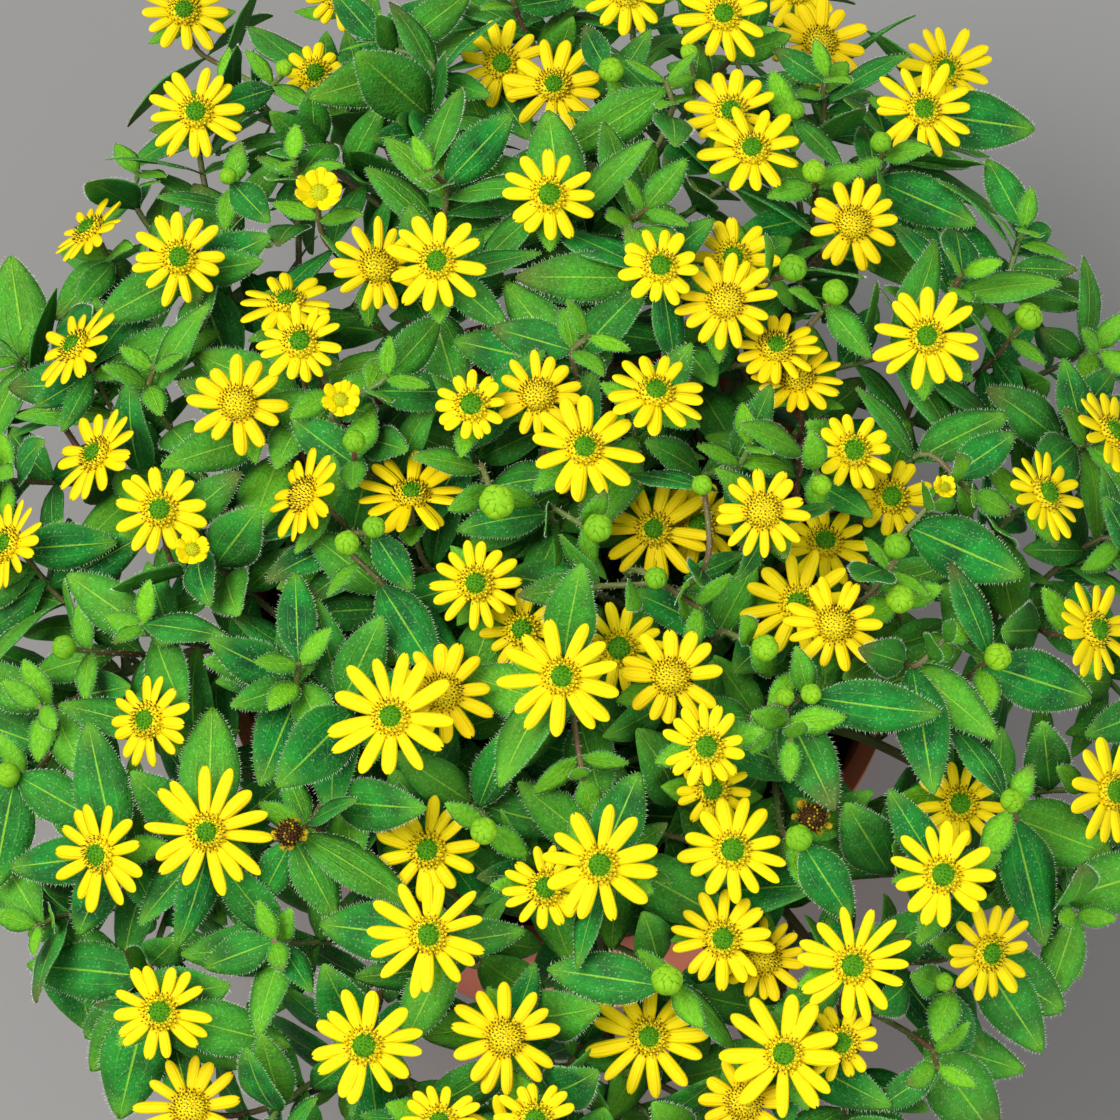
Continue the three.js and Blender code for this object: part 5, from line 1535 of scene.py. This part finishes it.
def makePot():
    shoulder = pot["height"] - pot["band"]
    footIn = pot["foot"] - pot["footRing"]
    recessRound = pot["recessRound"]
    outline = [(0, 0), (recessRound, 0), (recessRound, pot["recess"]), (footIn, pot["recess"]), (footIn, 0),
               (pot["foot"], 0), (potRadius(shoulder), shoulder), (pot["rim"] - pot["bandStep"], shoulder),
               (pot["rim"], pot["height"] - pot["lip"]), (pot["rim"], pot["height"]),
               (pot["rim"] - pot["bandWall"], pot["height"]),
               (potRadius(shoulder) - pot["wall"], shoulder - pot["recess"]),
               (potRadius(pot["floor"]) - pot["wall"], pot["floor"]), (0, pot["floor"])]
    shell = spunShell("pot_shell", outline, potLook["around"])
    for i in range(pot["drains"]):
        drillDrain(shell, i / pot["drains"] * 2 * math.pi)
    soft = shell.modifiers.new("soft edges", "BEVEL")
    soft.width = potLook["soft"] * mm
    soft.segments = potLook["softSteps"]
    soft.limit_method = "ANGLE"
    soft.angle_limit = potLook["softAngle"]
    applyAll(shell)
    finishPiece(shell, potFinish, "pot")


soilLook = {"around": 90, "rings": 22, "lump": 1.5, "lumpSize": 5, "lumpDepth": 3, "middle": 0.6,
            "topFrom": 0.5}


def makeSoil():
    brink = pot["height"] - pot["band"] - pot["recess"]
    inner = potRadius(brink) - pot["wall"] - soil["gap"]
    low = potRadius(pot["floor"]) - pot["wall"] - soil["gap"]
    foot = pot["floor"] + soil["gap"]
    outline = [(0, foot), (low, foot), (inner, brink - soil["gap"])]
    for i in range(soilLook["rings"]):
        share = 1 - i / soilLook["rings"]
        height = soil["shoulder"] - soil["dip"] * share ** 4 + soil["crown"] * (1 - share ** 2)
        outline.append(((inner - soil["edge"]) * share, height))
    outline.append((0, soil["shoulder"] + soil["crown"]))
    ball = spunShell("potting_soil", outline, soilLook["around"])
    lumps = bpy.data.textures.new("lumps", "CLOUDS")
    lumps.noise_scale = soilLook["lumpSize"] * mm
    lumps.noise_depth = soilLook["lumpDepth"]
    topFrom = (soil["shoulder"] - soil["dip"] + soilLook["topFrom"]) * mm
    group = ball.vertex_groups.new(name="top")
    group.add([vertex.index for vertex in ball.data.vertices if vertex.co.z > topFrom], 1, "REPLACE")
    swell = ball.modifiers.new("lumps", "DISPLACE")
    swell.texture = lumps
    swell.strength = soilLook["lump"] * 2 * mm
    swell.mid_level = soilLook["middle"]
    swell.direction = "Z"
    swell.vertex_group = "top"
    swell.texture_coords = "LOCAL"
    applyAll(ball)
    finishPiece(ball, soilFinish, "soil")


makePot()
makeSoil()
print("pot and soil made")

# Sprays
for spray in sprays:
    foliage, flowers, hairs = newHeap(), newHeap(), newHeap()
    members = [spray["stalk"]]
    for head in heads:
        if head["spray"] is spray:
            members.append(head["stalk"])
            if head["kind"] == "bud":
                addBud(foliage, head)
            elif head["kind"] != "shoot":
                addBloom(flowers, foliage, head)
    for stalk in members:
        for blade in stalk["leaves"]:
            addLeaf(foliage, hairs, blade)
        addStemHairs(hairs, stalk)
    addStems(foliage, spray, members)
    piece = makePiece(spray["name"] + "_foliage", foliage, [leafFinish, stemFinish, budFinish])
    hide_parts(spray["name"])
    if flowers["count"]:
        makePiece(spray["name"] + "_blooms", flowers, [petalFinish, floretFinish])
    makePiece(spray["name"] + "_hairs", hairs, [hairFinish])
print("sprays made")

# Floor and light
floorLook = {"size": 4, "under": 0.0005, "color": (0.22, 0.218, 0.213, 1)}
lightAim = Vector((0, 0, 0.14))
lights = {
    "key": {"spot": Vector((-0.7, -0.1, 1.3)), "power": 24, "size": 0.9, "color": (1, 0.98, 0.95)},
    "fill": {"spot": Vector((0.8, -0.9, 0.7)), "power": 10, "size": 1.0, "color": (0.95, 0.98, 1)},
}
sky = {"strength": 0.58, "color": (0.95, 0.97, 1, 1)}
bpy.ops.mesh.primitive_plane_add(size=floorLook["size"], location=(0, 0, -floorLook["under"]))
floor = bpy.context.object
floorFinish, floorTree, floorShader = newFinish("paleFloor", 0.8)
floorShader.inputs["Base Color"].default_value = floorLook["color"]
floor.data.materials.append(floorFinish)
for name, settings in lights.items():
    data = bpy.data.lights.new(name, "AREA")
    data.energy = settings["power"]
    data.size = settings["size"]
    data.color = settings["color"]
    light = bpy.data.objects.new(name, data)
    bpy.context.scene.collection.objects.link(light)
    light.location = settings["spot"]
    light.rotation_euler = (lightAim - settings["spot"]).to_track_quat("-Z", "Y").to_euler()
world = bpy.data.worlds.new("sky")
world.use_nodes = True
world.node_tree.nodes["Background"].inputs["Color"].default_value = sky["color"]
world.node_tree.nodes["Background"].inputs["Strength"].default_value = sky["strength"]
bpy.context.scene.world = world
bpy.context.scene.view_settings.view_transform = "Standard"

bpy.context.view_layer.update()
meshes = [piece.data for piece in bpy.data.objects if piece.type == "MESH"]
print("triangles", sum(len(face.vertices) - 2 for mesh in meshes for face in mesh.polygons))
